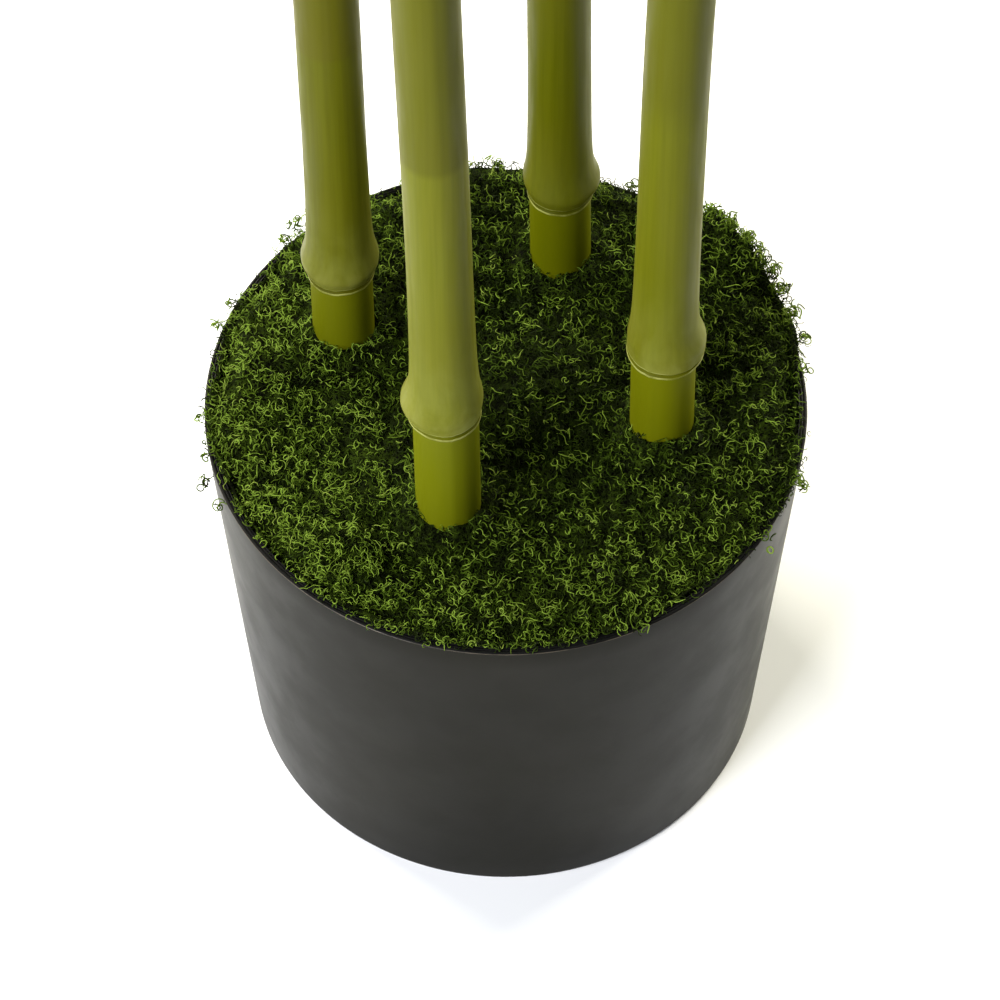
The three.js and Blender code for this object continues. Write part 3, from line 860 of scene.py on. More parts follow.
def joint_paint(name, look, under, over, gloss, stretch, patches, depth, strength):
    """A thin line at a joint, with a second colour laid over the first in patches."""
    paint = Paint(name, under, look.roughness, gloss)
    patchy = paint.ranged(paint.noise(1, 4, 0.6, stretch, 0.5), *patches)
    paint.coloured(paint.mixed(patchy, under, over))
    paint.roughened(look.roughness, look.roughness + 0.15, 300, 3, 0.5)
    paint.bumped(paint.noise(500, 3, 0.6), depth, strength)
    return paint.material


def worn_and_highlight_paint(name, look, tone):
    """The light edge of a joint's bead and lip: patchy wear, and partly a painted highlight on
    these raised edges.
    """
    return joint_paint(name, look, tone["main"], tuple(look.worn_and_highlight_colour), 0.1, (90, 90, 50),
                       (0.36, 0.62, 0.1, 1.0), 0.08, 0.4)


def groove_shade_paint(name, look, tone):
    """The dark line in the groove between a joint's bead and its lip: painted shade in the groove.
    """
    return joint_paint(name, look, toned(tone["shade"], 0.8), tone["shade"], 0.05,
                       (110, 110, 60), (0.36, 0.64), 0.06, 0.3)


def limb_paint(name, light, dark, roughness):
    """Moulded plastic of boughs and twigs, browner in patches."""
    paint = Paint(name, light, roughness)
    paint.coloured(paint.mixed(paint.ranged(paint.noise(75, 4, 0.6), 0.36, 0.66), dark, light))
    paint.roughened(roughness - 0.08, roughness + 0.12, 160, 2, 0.5)
    paint.bumped(paint.noise(1, 3, 0.6, (800, 800, 240)), 0.1, 0.4)
    return paint.material


def leaf_paint(name, colour):
    """One plain green of the woven leaves, with their fine ribbing."""
    paint = Paint(name, colour, 0.6, 0.2)
    paint.roughened(0.52, 0.7, 90, 3, 0.5)
    paint.bumped(paint.noise(1500, 2, 0.6), 0.06, 0.35)
    paint.bumped(paint.noise(120, 2, 0.5), 0.4, 0.2)
    return paint.material


def greens_of(look, paint, name):
    """Materials of the plain greens of moss or leaves."""
    colours = [look.green_1, look.green_2, look.green_3, look.green_4, look.green_5]
    return [paint(f"{name}_{i}", tuple(colour)) for i, colour in enumerate(colours, 1)]


# The source's rule: canes, boughs and masses of leaves

def wall_radius(height):
    return FOOT_RADIUS + (RIM_RADIUS - FOOT_RADIUS) * height / POT_HEIGHT


def moss_level(x, y):
    """Height of the moss above the rim, away from its edge."""
    wide, deep, slanted = MOSS_WAVES
    phases = MOSS_PHASES
    humps = np.sin(x / wide + phases[0]) * np.cos(y / deep + phases[1])
    lumps = humps + SLANTED_SHARE * np.sin((x - y) / slanted + phases[2])
    return MOSS_LEVEL + MOSS_TILT * y + MOSS_LUMP * lumps


def joint_heights(cane):
    heights = [cane["joint"]]
    for spacing in JOINT_SPACING:
        heights.append(heights[-1] + spacing * cane["stretch"])
    return heights


def ring_heights(cane):
    """Heights of the rings as seen. The lowest one has its own."""
    return [cane["ring"]] + joint_heights(cane)[1:-1]


def cane_top(cane):
    return joint_heights(cane)[-1]


def cane_radius(cane, height):
    part = np.maximum(0, height / cane_top(cane))
    return CANE_RADIUS * (1 - CANE_TAPER * part - TIP_TAPER * part ** TIP_POWER)


def cane_centres(cane, heights):
    """Centres of a cane at heights above the rim, one row each."""
    heights = np.asarray(heights, float)
    rise = np.maximum(0, heights)
    return np.stack([
        cane["place"][0] + cane["slant"] * heights + cane["bow"][0] * rise * rise,
        cane["place"][1] + cane["bow"][1] * rise * rise,
        POT_HEIGHT + heights,
    ], axis=-1)


def plan_boughs(cane):
    """Side and tier of each bough, with its curve."""
    heights = joint_heights(cane)
    boughs = []
    for tier, joint in enumerate(BOUGH_JOINTS):
        for side, turn in enumerate(BOUGH_TURN[tier]):
            start = cane_centres(cane, heights[joint] + BOUGH_ABOVE_RING + side * BOUGH_STAGGER)
            azimuth = math.radians(cane["facing"] + turn)
            rise = math.radians(BOUGH_RISE[tier])
            levelled = rise - math.radians(BOUGH_LEVEL_OFF)
            length = BOUGH_LENGTH[tier] + float(cane_radius(cane, heights[joint]))
            curve = Bend(start, heading(azimuth, rise), heading(azimuth, levelled), length)
            boughs.append({"tier": tier, "curve": curve})
    return boughs


def plan_mass(cane_number, name, start, direction, sag, length):
    first = start + direction * GAP
    curve = Bend(first, direction, lowered(direction, sag), length)
    return {
        "cane": cane_number, "name": name, "curve": curve,
        "middle": curve.point(MIDDLE_OF_MASS), "taken": [],
    }


def crown_radius(height):
    heights, radii = zip(*CROWN_OUTLINE)
    return np.interp(height, heights, radii, left=0, right=0)


def leaf_line(root, direction, length):
    """Middle line of a source leaf, which hangs lower from its widest place on."""
    widest = root + direction * (length * LEAF_WIDEST)
    tip = widest + lowered(direction, LEAF_SAG) * (length * (1 - LEAF_WIDEST))
    return {"root": root, "widest": widest, "tip": tip}


def points_on_leaf(line, ts):
    ts = np.asarray(ts, float)[:, None]
    near = line["root"] + (line["widest"] - line["root"]) * (ts / LEAF_WIDEST)
    far = line["widest"] + (line["tip"] - line["widest"]) * ((ts - LEAF_WIDEST) / (1 - LEAF_WIDEST))
    return np.where(ts < LEAF_WIDEST, near, far)


class Crown:
    """Plans every limb and leaf by the source's rule, each mass in its own space."""

    def __init__(self):
        self.boughs, self.masses, bough_places = [], [], []
        for number, cane in enumerate(CANES, 1):
            boughs = plan_boughs(cane)
            self.boughs.append(boughs)
            for side, bough in enumerate(boughs, 1):
                curve, tier = bough["curve"], bough["tier"]
                for i in range(BOUGH_CHECKS):
                    bough_places.append(curve.point(i / BOUGH_CHECKS))
                self.masses.append(plan_mass(number, f"foliage_{number}_{side}", curve.point(1),
                                             curve.tangent(1), STEM_SAG[tier], STEM_LENGTH[tier]))
            top = cane_centres(cane, cane_top(cane))
            way = heading(math.radians(cane["facing"]), math.radians(TOP_STEM_RISE))
            self.masses.append(plan_mass(number, f"foliage_{number}_top", top, way, TOP_STEM_SAG,
                                         TOP_STEM_LENGTH))
        self.bough_places = np.array(bough_places)
        self.middles = np.array([mass["middle"] for mass in self.masses])
        for order, mass in enumerate(self.masses):
            self.grow(mass, order)

    def inside_space(self, points, mass):
        points = np.atleast_2d(points)
        out = np.hypot(points[:, 0], points[:, 1]) > crown_radius(points[:, 2] - POT_HEIGHT)
        if out.any():
            return False
        own = ((points - mass["middle"]) ** 2).sum(axis=1)
        others = ((points[:, None] - self.middles[None]) ** 2).sum(axis=2)
        apart = np.linalg.norm(self.middles - mass["middle"], axis=1)
        free = others - own[:, None] > 2 * SPACE_MARGIN * apart
        free[:, apart == 0] = True
        return bool(free.all())

    def clear_of_limbs(self, points, reach):
        points = np.atleast_2d(points)
        reach = np.broadcast_to(reach, len(points))
        heights = points[:, 2] - POT_HEIGHT
        for cane in CANES:
            centre = cane_centres(cane, heights)
            top = cane_top(cane)
            thick = cane_radius(cane, np.minimum(heights, top)) + JOINT_PROUD
            apart = np.hypot(points[:, 0] - centre[:, 0], points[:, 1] - centre[:, 1])
            near = (apart < thick + reach + LIMB_CLEARANCE) & (heights <= top + reach)
            if near.any():
                return False
        gaps = np.linalg.norm(points[:, None] - self.bough_places[None], axis=2)
        return bool((gaps > (BOUGH_RADIUS + reach + LIMB_CLEARANCE)[:, None]).all())

    def leaf_fits(self, line, mass):
        ts = np.arange(2, LEAF_CHECKS + 1) / LEAF_CHECKS
        points = points_on_leaf(line, ts)
        narrowing = np.minimum(ts / LEAF_WIDEST, (1 - ts) / (1 - LEAF_WIDEST))
        if not self.clear_of_limbs(points, LEAF_WIDTH / 2 * narrowing):
            return False
        if mass["taken"]:
            taken = np.array(mass["taken"])
            if (np.linalg.norm(points[:, None] - taken[None], axis=2) < LEAF_APART).any():
                return False
        across = unit(cross(line["tip"] - line["root"], UP))
        places = [line["tip"]]
        for side in (-1, 1):
            for drop in (-1, 1):
                edge = line["widest"] + across * (side * LEAF_WIDTH / 2)
                places.append(edge + UP * (drop * LEAF_WIDTH / LEAF_DROP))
        return self.inside_space(np.array(places), mass)

    def try_leaf(self, random, root, direction, yaw, mass):
        """The first of a few trial leaves that fits."""
        for trial in range(TRIES):
            loose = 1 + LEAF_LOOSER * trial
            turn = yaw + random.spread(math.radians(LEAF_LOOSE_YAW) * loose)
            way = turned(direction, turn, random.spread(math.radians(LEAF_LOOSE_PITCH) * loose))
            length = LEAF_LENGTH * (1 + random.spread(LEAF_STRAY)) * (1 - LEAF_SHORTER * trial)
            line = leaf_line(root, way, length)
            if not self.leaf_fits(line, mass):
                continue
            mass["taken"].extend(points_on_leaf(line, np.arange(*TAKEN_PLACES)))
            return line
        return None

    def try_twig(self, random, root, direction, round_angle, mass):
        """The end of the first of a few trial twigs that fits."""
        for trial in range(TRIES):
            open_angle = math.radians(TWIG_SPREAD) + random.spread(math.radians(TWIG_OPEN_STRAY))
            roll = round_angle + random.spread(math.radians(TWIG_ROLL_STRAY))
            way = rotated(turned(direction, open_angle, 0), direction, roll)
            length = TWIG_LENGTH * (1 + random.spread(TWIG_STRAY)) * (1 - TWIG_SHORTER * trial)
            end = root + way * length
            points = np.array([root + (end - root) * t for t in TWIG_CHECKS])
            if self.clear_of_limbs(points, TWIG_RADIUS) and self.inside_space(points, mass):
                return end, way
        return None

    def grow(self, mass, order):
        """Twigs and leaf lines of a mass, in the source's order of random draws."""
        random = Random(SEED + order * SEED_STEP)
        curve = mass["curve"]
        mass["lines"], mass["twigs"] = [], []

        def add_leaf(root, direction, yaw):
            line = self.try_leaf(random, root, direction, yaw, mass)
            if line:
                random.spread(math.radians(LEAF_ROLL))
                mass["lines"].append(line)

        add_leaf(curve.point(END_LEAF_AT), curve.tangent(1), 0)
        for i in range(TWIGS):
            along = FIRST_TWIG + (LAST_TWIG - FIRST_TWIG) * i / (TWIGS - 1)
            root, direction = curve.point(along), curve.tangent(along)
            side = 1 if i % 2 else -1
            twig = self.try_twig(random, root, direction, i * math.radians(TWIG_TURN), mass)
            if not twig:
                add_leaf(root, direction, side * math.radians(LEAF_SPREAD))
                continue
            end, way = twig
            mass["twigs"].append((root, end, way))
            add_leaf(end, way, 0)
            add_leaf(root + (end - root) * TWIG_LEAF_AT, way, side * math.radians(LEAF_SPREAD))
        for along, side in STEM_LEAVES:
            add_leaf(curve.point(along), curve.tangent(along), side * math.radians(LEAF_SPREAD))


# Finer twigs and real-size leaves, carried on from the source's limbs

class Foliage:
    """Leaves and twigs of one cane, gathered leaf by leaf."""

    def __init__(self, crown, look, random):
        self.crown, self.look, self.random = crown, look, random
        self.twigs = Gathered()
        self.rows = []

    def leaf(self, root, direction, yaw, length, green):
        """A leaf of real size that keeps clear of the limbs and inside the crown."""
        random = self.random
        for trial in range(SPRAY_TRIES):
            way = turned(direction, yaw * (1 - YAW_LESS * trial) + random.spread(YAW_STRAY),
                         random.spread(PITCH_STRAY) - PITCH_DOWN)
            reach = length * (1 - LENGTH_LESS * trial)
            droop = DROOP[0] + DROOP[1] * random.number() - DROOP_LESS * trial
            shares = np.array(SPINE_CHECKS)[:, None]
            spine = root + (way * shares - UP * (0.5 * droop * shares ** 2)) * reach
            inside = np.hypot(spine[:, 0], spine[:, 1]) <= crown_radius(spine[:, 2] - POT_HEIGHT)
            if inside.all() and self.crown.clear_of_limbs(spine, LEAF_REACH):
                break
        else:
            return
        width = self.look.leaf_width * MM_PER_M * (reach / WIDTH_AT_LENGTH)
        width = width * (1 + random.spread(WIDTH_STRAY))
        self.rows.append((*root, *way, reach, width, droop, random.spread(ROLL_STRAY),
                          random.spread(TWIST_STRAY), FOLD[0] + FOLD[1] * random.number(), green))

    def pick_green(self, count):
        return int(self.random.number() * count) % count

    def spray(self, line, greens):
        """A twiglet along a source leaf's line, leaves on alternate sides and one at its end."""
        random = self.random
        green = self.pick_green(greens)
        path = points_on_leaf(line, np.linspace(0, SPRAY_TWIG, SPRAY_TWIG_POINTS))
        path[1:-1] += UP * SPRAY_TWIG_LIFT
        radii = np.linspace(*SPRAY_TWIG_RADIUS, len(path))
        add_limb(self.twigs, path, radii, SPRAY_TWIG_SIDES, 1)
        side = 1 if random.number() < 0.5 else -1
        size = self.look.leaf_length * MM_PER_M
        last = SPRAY_LEAVES - 1
        reach = SPRAY_TWIG - SPRAY_LAST_SHORT - SPRAY_FIRST
        first_turn, turn_span = SPRAY_LENGTH_TURN
        for k in range(last):
            share = k / (last - 1)
            t = SPRAY_FIRST + reach * share
            here, ahead = points_on_leaf(line, (t, t + SPRAY_STEP))
            open_angle = SPRAY_OPEN + (SPRAY_CLOSE - SPRAY_OPEN) * share
            hump = math.sin(math.pi * (first_turn + turn_span * share))
            length = size * (SPRAY_LENGTHS[0] + SPRAY_LENGTHS[1] * hump)
            shade = green if random.number() < SPRAY_GREEN_KEPT else self.pick_green(greens)
            self.leaf(here, unit(ahead - here), side * math.radians(open_angle),
                      length * (1 + random.spread(SPRAY_LENGTH_STRAY)), shade)
            side = -side
        end = path[-1]
        left = line["tip"] - end
        self.leaf(end, unit(left), 0, np.linalg.norm(left) * SPRAY_END_LONGER, green)

    def single(self, root, direction, side, greens):
        share = SINGLE_LENGTHS[0] + SINGLE_LENGTHS[1] * self.random.number()
        length = self.look.leaf_length * MM_PER_M * share
        self.leaf(root, direction, side * math.radians(SINGLE_OPEN), length,
                  self.pick_green(greens))

    def mass(self, mass, greens):
        """Stem, twigs, sprays and single leaves of one mass."""
        curve = mass["curve"]
        ts = np.linspace(0, 1, STEM_POINTS)
        path = np.array([curve.point(t) for t in ts])
        radii = np.linspace(STEM_RADIUS, STEM_TIP_RADIUS * STEM_TIP, len(ts))
        radii *= 1 + NODE_PROUD * noded(ts, STEM_NODES)
        add_limb(self.twigs, path, radii, STEM_SIDES, 0)
        side = 1
        for t in STEM_SINGLES:
            self.single(curve.point(t), curve.tangent(t), side, greens)
            side = -side
        for root, end, way in mass["twigs"]:
            ts = np.linspace(0, 1, TWIG_POINTS)
            bow = np.sin(ts * math.pi)[:, None] * UP * TWIG_BOW
            path = root + (end - root) * ts[:, None] + bow
            radii = np.linspace(TWIG_RADIUS, TWIG_TIP_RADIUS * TWIG_TIP, len(ts))
            radii *= 1 + NODE_PROUD * noded(ts, TWIG_NODES)
            add_limb(self.twigs, path, radii, TWIG_SIDES, 0)
            for t in TWIG_SINGLES:
                self.single(root + (end - root) * t, way, side, greens)
                side = -side
        for line in mass["lines"]:
            self.spray(line, greens)


def noded(ts, count):
    """Swelling along a limb at evenly spaced nodes, from 0 to 1."""
    places = (np.arange(count) + 0.5) / count
    return np.exp(-((ts[:, None] - places[None]) / NODE_WIDTH) ** 2).sum(axis=1)


def leaf_meshes(rows):
    """Closed thin blades with a fold along the midrib, from rows of leaf values."""
    rows = np.array(rows)
    root, way = rows[:, 0:3], rows[:, 3:6]
    length, width, droop, roll, twist, fold, green = rows[:, 6:].T
    share, wide, thick = np.array(LEAF_STATIONS).T
    reference = np.where(np.abs(way[:, 2:3]) < STEEP_LEAF, UP, SIDEWAYS)
    level = units(np.cross(reference, way))
    s = share[None, :, None]
    spine = root[:, None] + (way[:, None] * s - UP * (droop[:, None, None] * s ** 2 / 2)) \
        * length[:, None, None]
    ahead = units(way[:, None] - UP * (droop[:, None, None] * s))
    over = np.cross(ahead, level[:, None])
    turn = (roll[:, None] + twist[:, None] * share[None])[:, :, None]
    across = level[:, None] * np.cos(turn) + over * np.sin(turn)
    over = over * np.cos(turn) - level[:, None] * np.sin(turn)
    half = (width[:, None] * wide[None] / 2)[:, :, None]
    body = (LEAF_THICKNESS * thick[None, :, None] * (width[:, None, None] / THICKNESS_AT_WIDTH)) / 2
    flat, lift = np.cos(fold)[:, None, None], np.sin(fold)[:, None, None]
    sides = [
        spine + across * half * flat + over * half * lift,
        spine + over * body,
        spine - across * half * flat + over * half * lift,
        spine - over * body,
    ]
    points = np.stack(sides, axis=2).reshape(-1, 3)
    stations = len(share)
    faces = ring_faces(len(rows), stations, 4)
    return points, faces, face_slots(green.astype(int), stations, 4)


# Pieces

def build_pot(look):
    """Tapered pot with a rounded foot, a ridged black rim band and a tan painted highlight along
    the edges of its rim and foot.
    """
    wall_top = POT_HEIGHT + EDGE_OUTLINE[0][1]
    foot = [(wall_radius(h) + out, h) for out, h in FOOT_OUTLINE]
    heights = np.linspace(FOOT_OUTLINE[-1][1], wall_top, WALL_STATIONS)[1:]
    wall = [(wall_radius(h), h) for h in heights]
    edge = [(RIM_RADIUS + out, POT_HEIGHT + up) for out, up in EDGE_OUTLINE[1:]]
    band = [(RIM_RADIUS + out, POT_HEIGHT + up) for out, up in BAND_OUTLINE]
    inner_heights = np.linspace(POT_HEIGHT - INNER_BELOW_RIM, POT_FLOOR, INNER_STATIONS)
    inner = [(wall_radius(h) - POT_WALL, h) for h in inner_heights]
    hole = FOOT_RADIUS * FLOOR_HOLE
    profile = [(hole, 0)] + foot + wall + edge + band + inner + [(hole, POT_FLOOR)]
    slots = np.full(len(profile) - 1, WALL_SLOT)
    first_edge = len(foot) + len(wall)
    # The foot's rounded edge and the rim's outer edge carry the tan painted highlight
    slots[FOOT_EDGE_ROWS] = EDGE_HIGHLIGHT_SLOT
    slots[first_edge:first_edge + len(edge)] = EDGE_HIGHLIGHT_SLOT
    slots[first_edge + len(edge):] = BAND_SLOT
    gathered = Gathered()
    gathered.add(turned_rings(profile, POT_SIDES).reshape(-1, 3),
                 ring_faces(1, len(profile), POT_SIDES), np.repeat(slots, POT_SIDES))
    materials = [wall_paint(look), rim_paint(look), edge_highlight_paint(look)]
    return gathered.piece("pot_shell", materials, "pot", ["pot"], sharp=POT_SHARP)


def brim(azimuth):
    """Radius of the moss's edge and its height above the rim, in a compass direction."""
    directions, radii, heights = zip(*MOSS_BRIM)
    degrees = np.degrees(azimuth) % 360
    return np.interp(degrees, directions, radii), np.interp(degrees, directions, heights)


def cane_distances(x, y):
    """Distance from each cane's centre at the moss."""
    return [np.hypot(x - cane["place"][0], y - cane["place"][1]) for cane in CANES]


def near_brim(radius, edge):
    """0 inside and 1 at the moss's edge."""
    share = np.clip((radius - edge + BRIM_WIDTH) / (BRIM_WIDTH - BRIM_FLAT), 0, 1)
    return share * share * (3 - 2 * share)


def foot_mound(x, y):
    """How much the moss rises round the canes' feet."""
    rise = 0
    for cane, gap in zip(CANES, cane_distances(x, y)):
        turn = np.arctan2(y - cane["place"][1], x - cane["place"][0])
        (few, high), (many, low) = MOUND_WAVES
        ragged = 1 + high * np.sin(few * turn + cane["seam"]) + low * np.sin(many * turn)
        away = np.maximum(0, gap - CANE_RADIUS) / FOOT_MOUND_WIDTH
        rise = rise + cane["mound"] * ragged * np.exp(-away ** 2)
    return rise


def build_bed():
    """Uneven dark base of the moss, a little higher round the canes' feet."""
    reach = min(wall_radius(POT_HEIGHT - BED_IN_WALL) - POT_WALL - GAP, MOSS_REACH)
    turn = turns(BED_SIDES)
    edge, edge_height = brim(turn)
    over = np.maximum(0, edge - BED_SHORT_OF_BRIM - reach)
    share = np.linspace(BED_INNERMOST, 1, BED_RINGS)[::-1]
    radius = share[:, None] * (reach + over)
    x, y = radius * np.cos(turn), radius * np.sin(turn)
    waves, warps = BED_WAVES, BED_WARPS
    rough = BED_ROUGH * np.sin(x / waves[0] + warps[0] * np.sin(y / waves[1])) \
        * np.cos(y / waves[2] - warps[1] * np.sin(x / waves[3]))
    top = moss_level(x, y) - BED_BELOW + rough + foot_mound(x, y)
    near = near_brim(radius, edge)
    top = top * (1 - near) + (edge_height - BED_BELOW_AT_BRIM) * near
    top = np.where(radius > reach, np.maximum(top, BED_OVER_RIM), top)
    on_rim = over > ON_RIM_FROM
    top[0] = np.where(on_rim, *BED_EDGE)
    surface = np.stack([x, y, POT_HEIGHT + top], axis=-1)
    inner_x, inner_y = reach * np.cos(turn), reach * np.sin(turn)
    low = np.stack([inner_x, inner_y, np.full(BED_SIDES, POT_HEIGHT + FILL_TOP + GAP)], axis=-1)
    middle_low = low * (BED_HOLE, BED_HOLE, 1)
    collar = np.stack([inner_x, inner_y, POT_HEIGHT + np.where(on_rim, *BED_COLLAR)], axis=-1)
    rings = np.concatenate([middle_low[None], low[None], collar[None], surface])
    gathered = Gathered()
    gathered.add(rings.reshape(-1, 3), ring_faces(1, len(rings), BED_SIDES))
    return gathered.piece("moss_bed", [bed_paint()], "moss", ["moss"])


def moss_tufts(rng):
    """Centres of the moss's tufts on a jittered grid, each with its height and lightness."""
    across = np.arange(*TUFT_GRID, TUFT_SPACING)
    along = np.arange(*TUFT_GRID, TUFT_SPACING * TUFT_ROWS)
    x, y = np.meshgrid(across, along)
    x = x + (np.arange(len(along)) % 2)[:, None] * TUFT_SPACING / 2
    places = np.stack([x.ravel(), y.ravel()], axis=1)
    places = places + rng.uniform(-TUFT_JITTER, TUFT_JITTER, places.shape)
    lift = rng.normal(0, TUFT_LIFT, len(places))
    light = rng.uniform(-TUFT_LIGHT, TUFT_LIGHT, len(places))
    return places, lift, light


def painted_moss_light(x, y):
    """How much lighter the moss is painted at a place, as painted light: lightest at its left and
    front edges, darker in its shaded middle.
    """
    sides = 0
    for (right, back), start, share in PAINTED_LIGHT_SIDES:
        out = x * right + y * back - start
        sides = sides + share * np.clip(out / PAINTED_LIGHT_WIDTH, 0, 1)
    return PAINTED_LIGHT_RANGE * (sides - PAINTED_LIGHT_MIDDLE)


def fibre_greens(rng, light):
    """Greens by lightness, from 0 on top to 3 deep down, with a few pale ones, 4."""
    light = light + rng.normal(0, TONE_STRAY, len(light))
    steps = len(GREEN_ENDS)
    green = np.select([light > end for end in GREEN_ENDS], list(range(steps)), steps)
    pale = (rng.uniform(0, 1, len(light)) < PALE_SHARE) & (light > PALE_FROM)
    return np.where(pale, steps + 1, green)


def fibre_places(rng, count, tufts, layers):
    """Places of the fibres' middles on the moss, and each one's green."""
    number = np.arange(count)
    radius = np.sqrt((number + 0.5) / count) * MOSS_FARTHEST + rng.normal(0, FIBRE_STRAY, count)
    stray = rng.normal(0, FIBRE_STRAY, count) / np.maximum(MIDDLE_ROOM, radius)
    turn = number * GOLDEN_TURN + stray
    keep = radius < brim(turn)[0] + rng.normal(0, EDGE_RAGGED, count)
    radius, turn = radius[keep], turn[keep]
    x, y = radius * np.cos(turn), radius * np.sin(turn)
    clear = np.min(cane_distances(x, y), axis=0) > CANE_ROOM
    x, y, radius, turn = x[clear], y[clear], radius[clear], turn[clear]
    centres, lift, light = tufts
    gaps = np.hypot(x[:, None] - centres[None, :, 0], y[:, None] - centres[None, :, 1])
    own = gaps.argmin(axis=1)
    gap = gaps[np.arange(len(x)), own]
    dome = TUFT_DOME * (1 - np.minimum(TUFT_FOOT, (gap / TUFT_REACH) ** 2)) - TUFT_SINK
    layer = rng.uniform(*layers, len(x))
    z = moss_level(x, y) + dome + lift[own] + layer + foot_mound(x, y)
    edge, edge_height = brim(turn)
    near = near_brim(radius, edge)
    z = z * (1 - near) + (edge_height + EDGE_RELIEF * (dome + layer)) * near
    on_rim = np.clip((radius - (RIM_RADIUS - POT_WALL - 1)) / ON_RIM_WIDTH, 0, 1)
    z = z * (1 - on_rim) + np.maximum(z, rng.uniform(*ON_RIM_LAYER, len(x))) * on_rim
    heaped = (radius > edge - 1) & (edge_height > HEAPED_FROM)
    heap = rng.uniform(*HEAP_STRAY, len(x)) * edge_height * rng.uniform(*HEAP_UP, len(x))
    z = np.where(heaped, heap, z)
    # Lightness: each tuft's random lightness, painted shade on the fibres that lie deeper, and the
    # moss's painted light at its left and front edges
    tone = (dome + layer + PAINTED_SHADE_DEPTH) / PAINTED_SHADE_SPAN
    green = fibre_greens(rng, light[own] + tone + painted_moss_light(x, y))
    return np.stack([x, y, POT_HEIGHT + z], axis=1), green


def stray_places(rng):
    """Places of the loose curls that lie on and hang over the rim."""
    places = []
    for azimuth, radius, up, spread, count in STRAY_CURLS:
        turn = math.radians(azimuth)
        middle = np.array((radius * math.cos(turn), radius * math.sin(turn), POT_HEIGHT + up))
        offsets = np.clip(rng.normal(0, STRAY_SPREAD, (count, 3)), -STRAY_REACH, STRAY_REACH)
        spots = middle + spread * offsets
        inside = np.hypot(spots[:, 0], spots[:, 1]) < RIM_RADIUS + STRAY_ON_RIM
        spots[inside, 2] = np.maximum(spots[inside, 2], POT_HEIGHT + STRAY_LIFT)
        places.append(spots)
    places = np.concatenate(places)
    return places, fibre_greens(rng, rng.uniform(*STRAY_LIGHT, len(places)))


def curly_paths(rng, places, step, bends, lie):
    """Paths of fibres that curl as they go, and the axis that each turns about on the way.
    lie is how far the axes stray from upright."""
    count = len(places)
    axis = units(rng.normal(0, 1, (count, 3)) * (lie, lie, 1.0))
    ahead = units(np.cross(axis, rng.normal(0, 1, (count, 3))))
    torsion = rng.uniform(-FIBRE_TORSION, FIBRE_TORSION, count)[:, None]
    points, axes = [np.zeros((count, 3))], [axis]
    for bend in bends.T[:, :, None]:
        ahead = ahead * np.cos(bend) + np.cross(axis, ahead) * np.sin(bend)
        axis = axis * np.cos(torsion) + np.cross(ahead, axis) * np.sin(torsion)
        points.append(points[-1] + ahead * step[:, None])
        axes.append(axis)
    paths = np.stack(points, axis=1)
    paths -= paths.mean(axis=1, keepdims=True)
    return paths + places[:, None], np.stack(axes, axis=1)


def add_fibres(gathered, rng, paths, axis, green, thickness):
    """Round fibres along paths, thinner at their ends."""
    share = np.linspace(0, 1, paths.shape[1])
    taper = 1 - FIBRE_TAPER * np.abs(2 * share - 1) ** FIBRE_TAPER_POWER
    radii = rng.uniform(*FIBRE_WIDTHS, len(paths))[:, None] * taper[None] * thickness
    points, faces = tubes(paths, radii, FIBRE_SIDES, axis)
    gathered.add(points, faces, face_slots(green, paths.shape[1], FIBRE_SIDES))


def even_curls(rng, places, step, bend, steps, lie):
    """Paths of fibres that each curl evenly, and their axes."""
    lengths = rng.uniform(*step, len(places))
    bends = np.repeat(rng.uniform(*bend, len(places))[:, None], steps, axis=1)
    return curly_paths(rng, places, lengths, bends, lie)


def wavy_strands(rng, places):
    """Paths of longer fibres that curl to and fro, and their axes."""
    count = len(places)
    lengths = rng.uniform(*STRAND_STEP, count)
    wave = np.sin(np.arange(STRAND_STEPS) * rng.uniform(*STRAND_WAVE, count)[:, None]
                  + rng.uniform(0, 2 * math.pi, count)[:, None])
    bends = wave * rng.uniform(*STRAND_BEND, count)[:, None]
    return curly_paths(rng, places, lengths, bends, STRAND_LIE)


def add_ribbons(gathered, paths, width, axis, green):
    """Flat shavings along paths, each lying in the plane that it curls in."""
    count, rows = paths.shape[:2]
    ahead = units(np.gradient(paths, axis=1))
    across = units(np.cross(ahead, axis)) * (width / 2)[:, None, None]
    points = np.stack([paths - across, paths + across], axis=2).reshape(-1, 3)
    first = (np.arange(count)[:, None] * rows + np.arange(rows - 1)[None, :]) * 2
    faces = np.stack([first, first + 1, first + 3, first + 2], axis=-1).reshape(-1, 4)
    gathered.add(points, [faces], np.repeat(green, rows - 1))


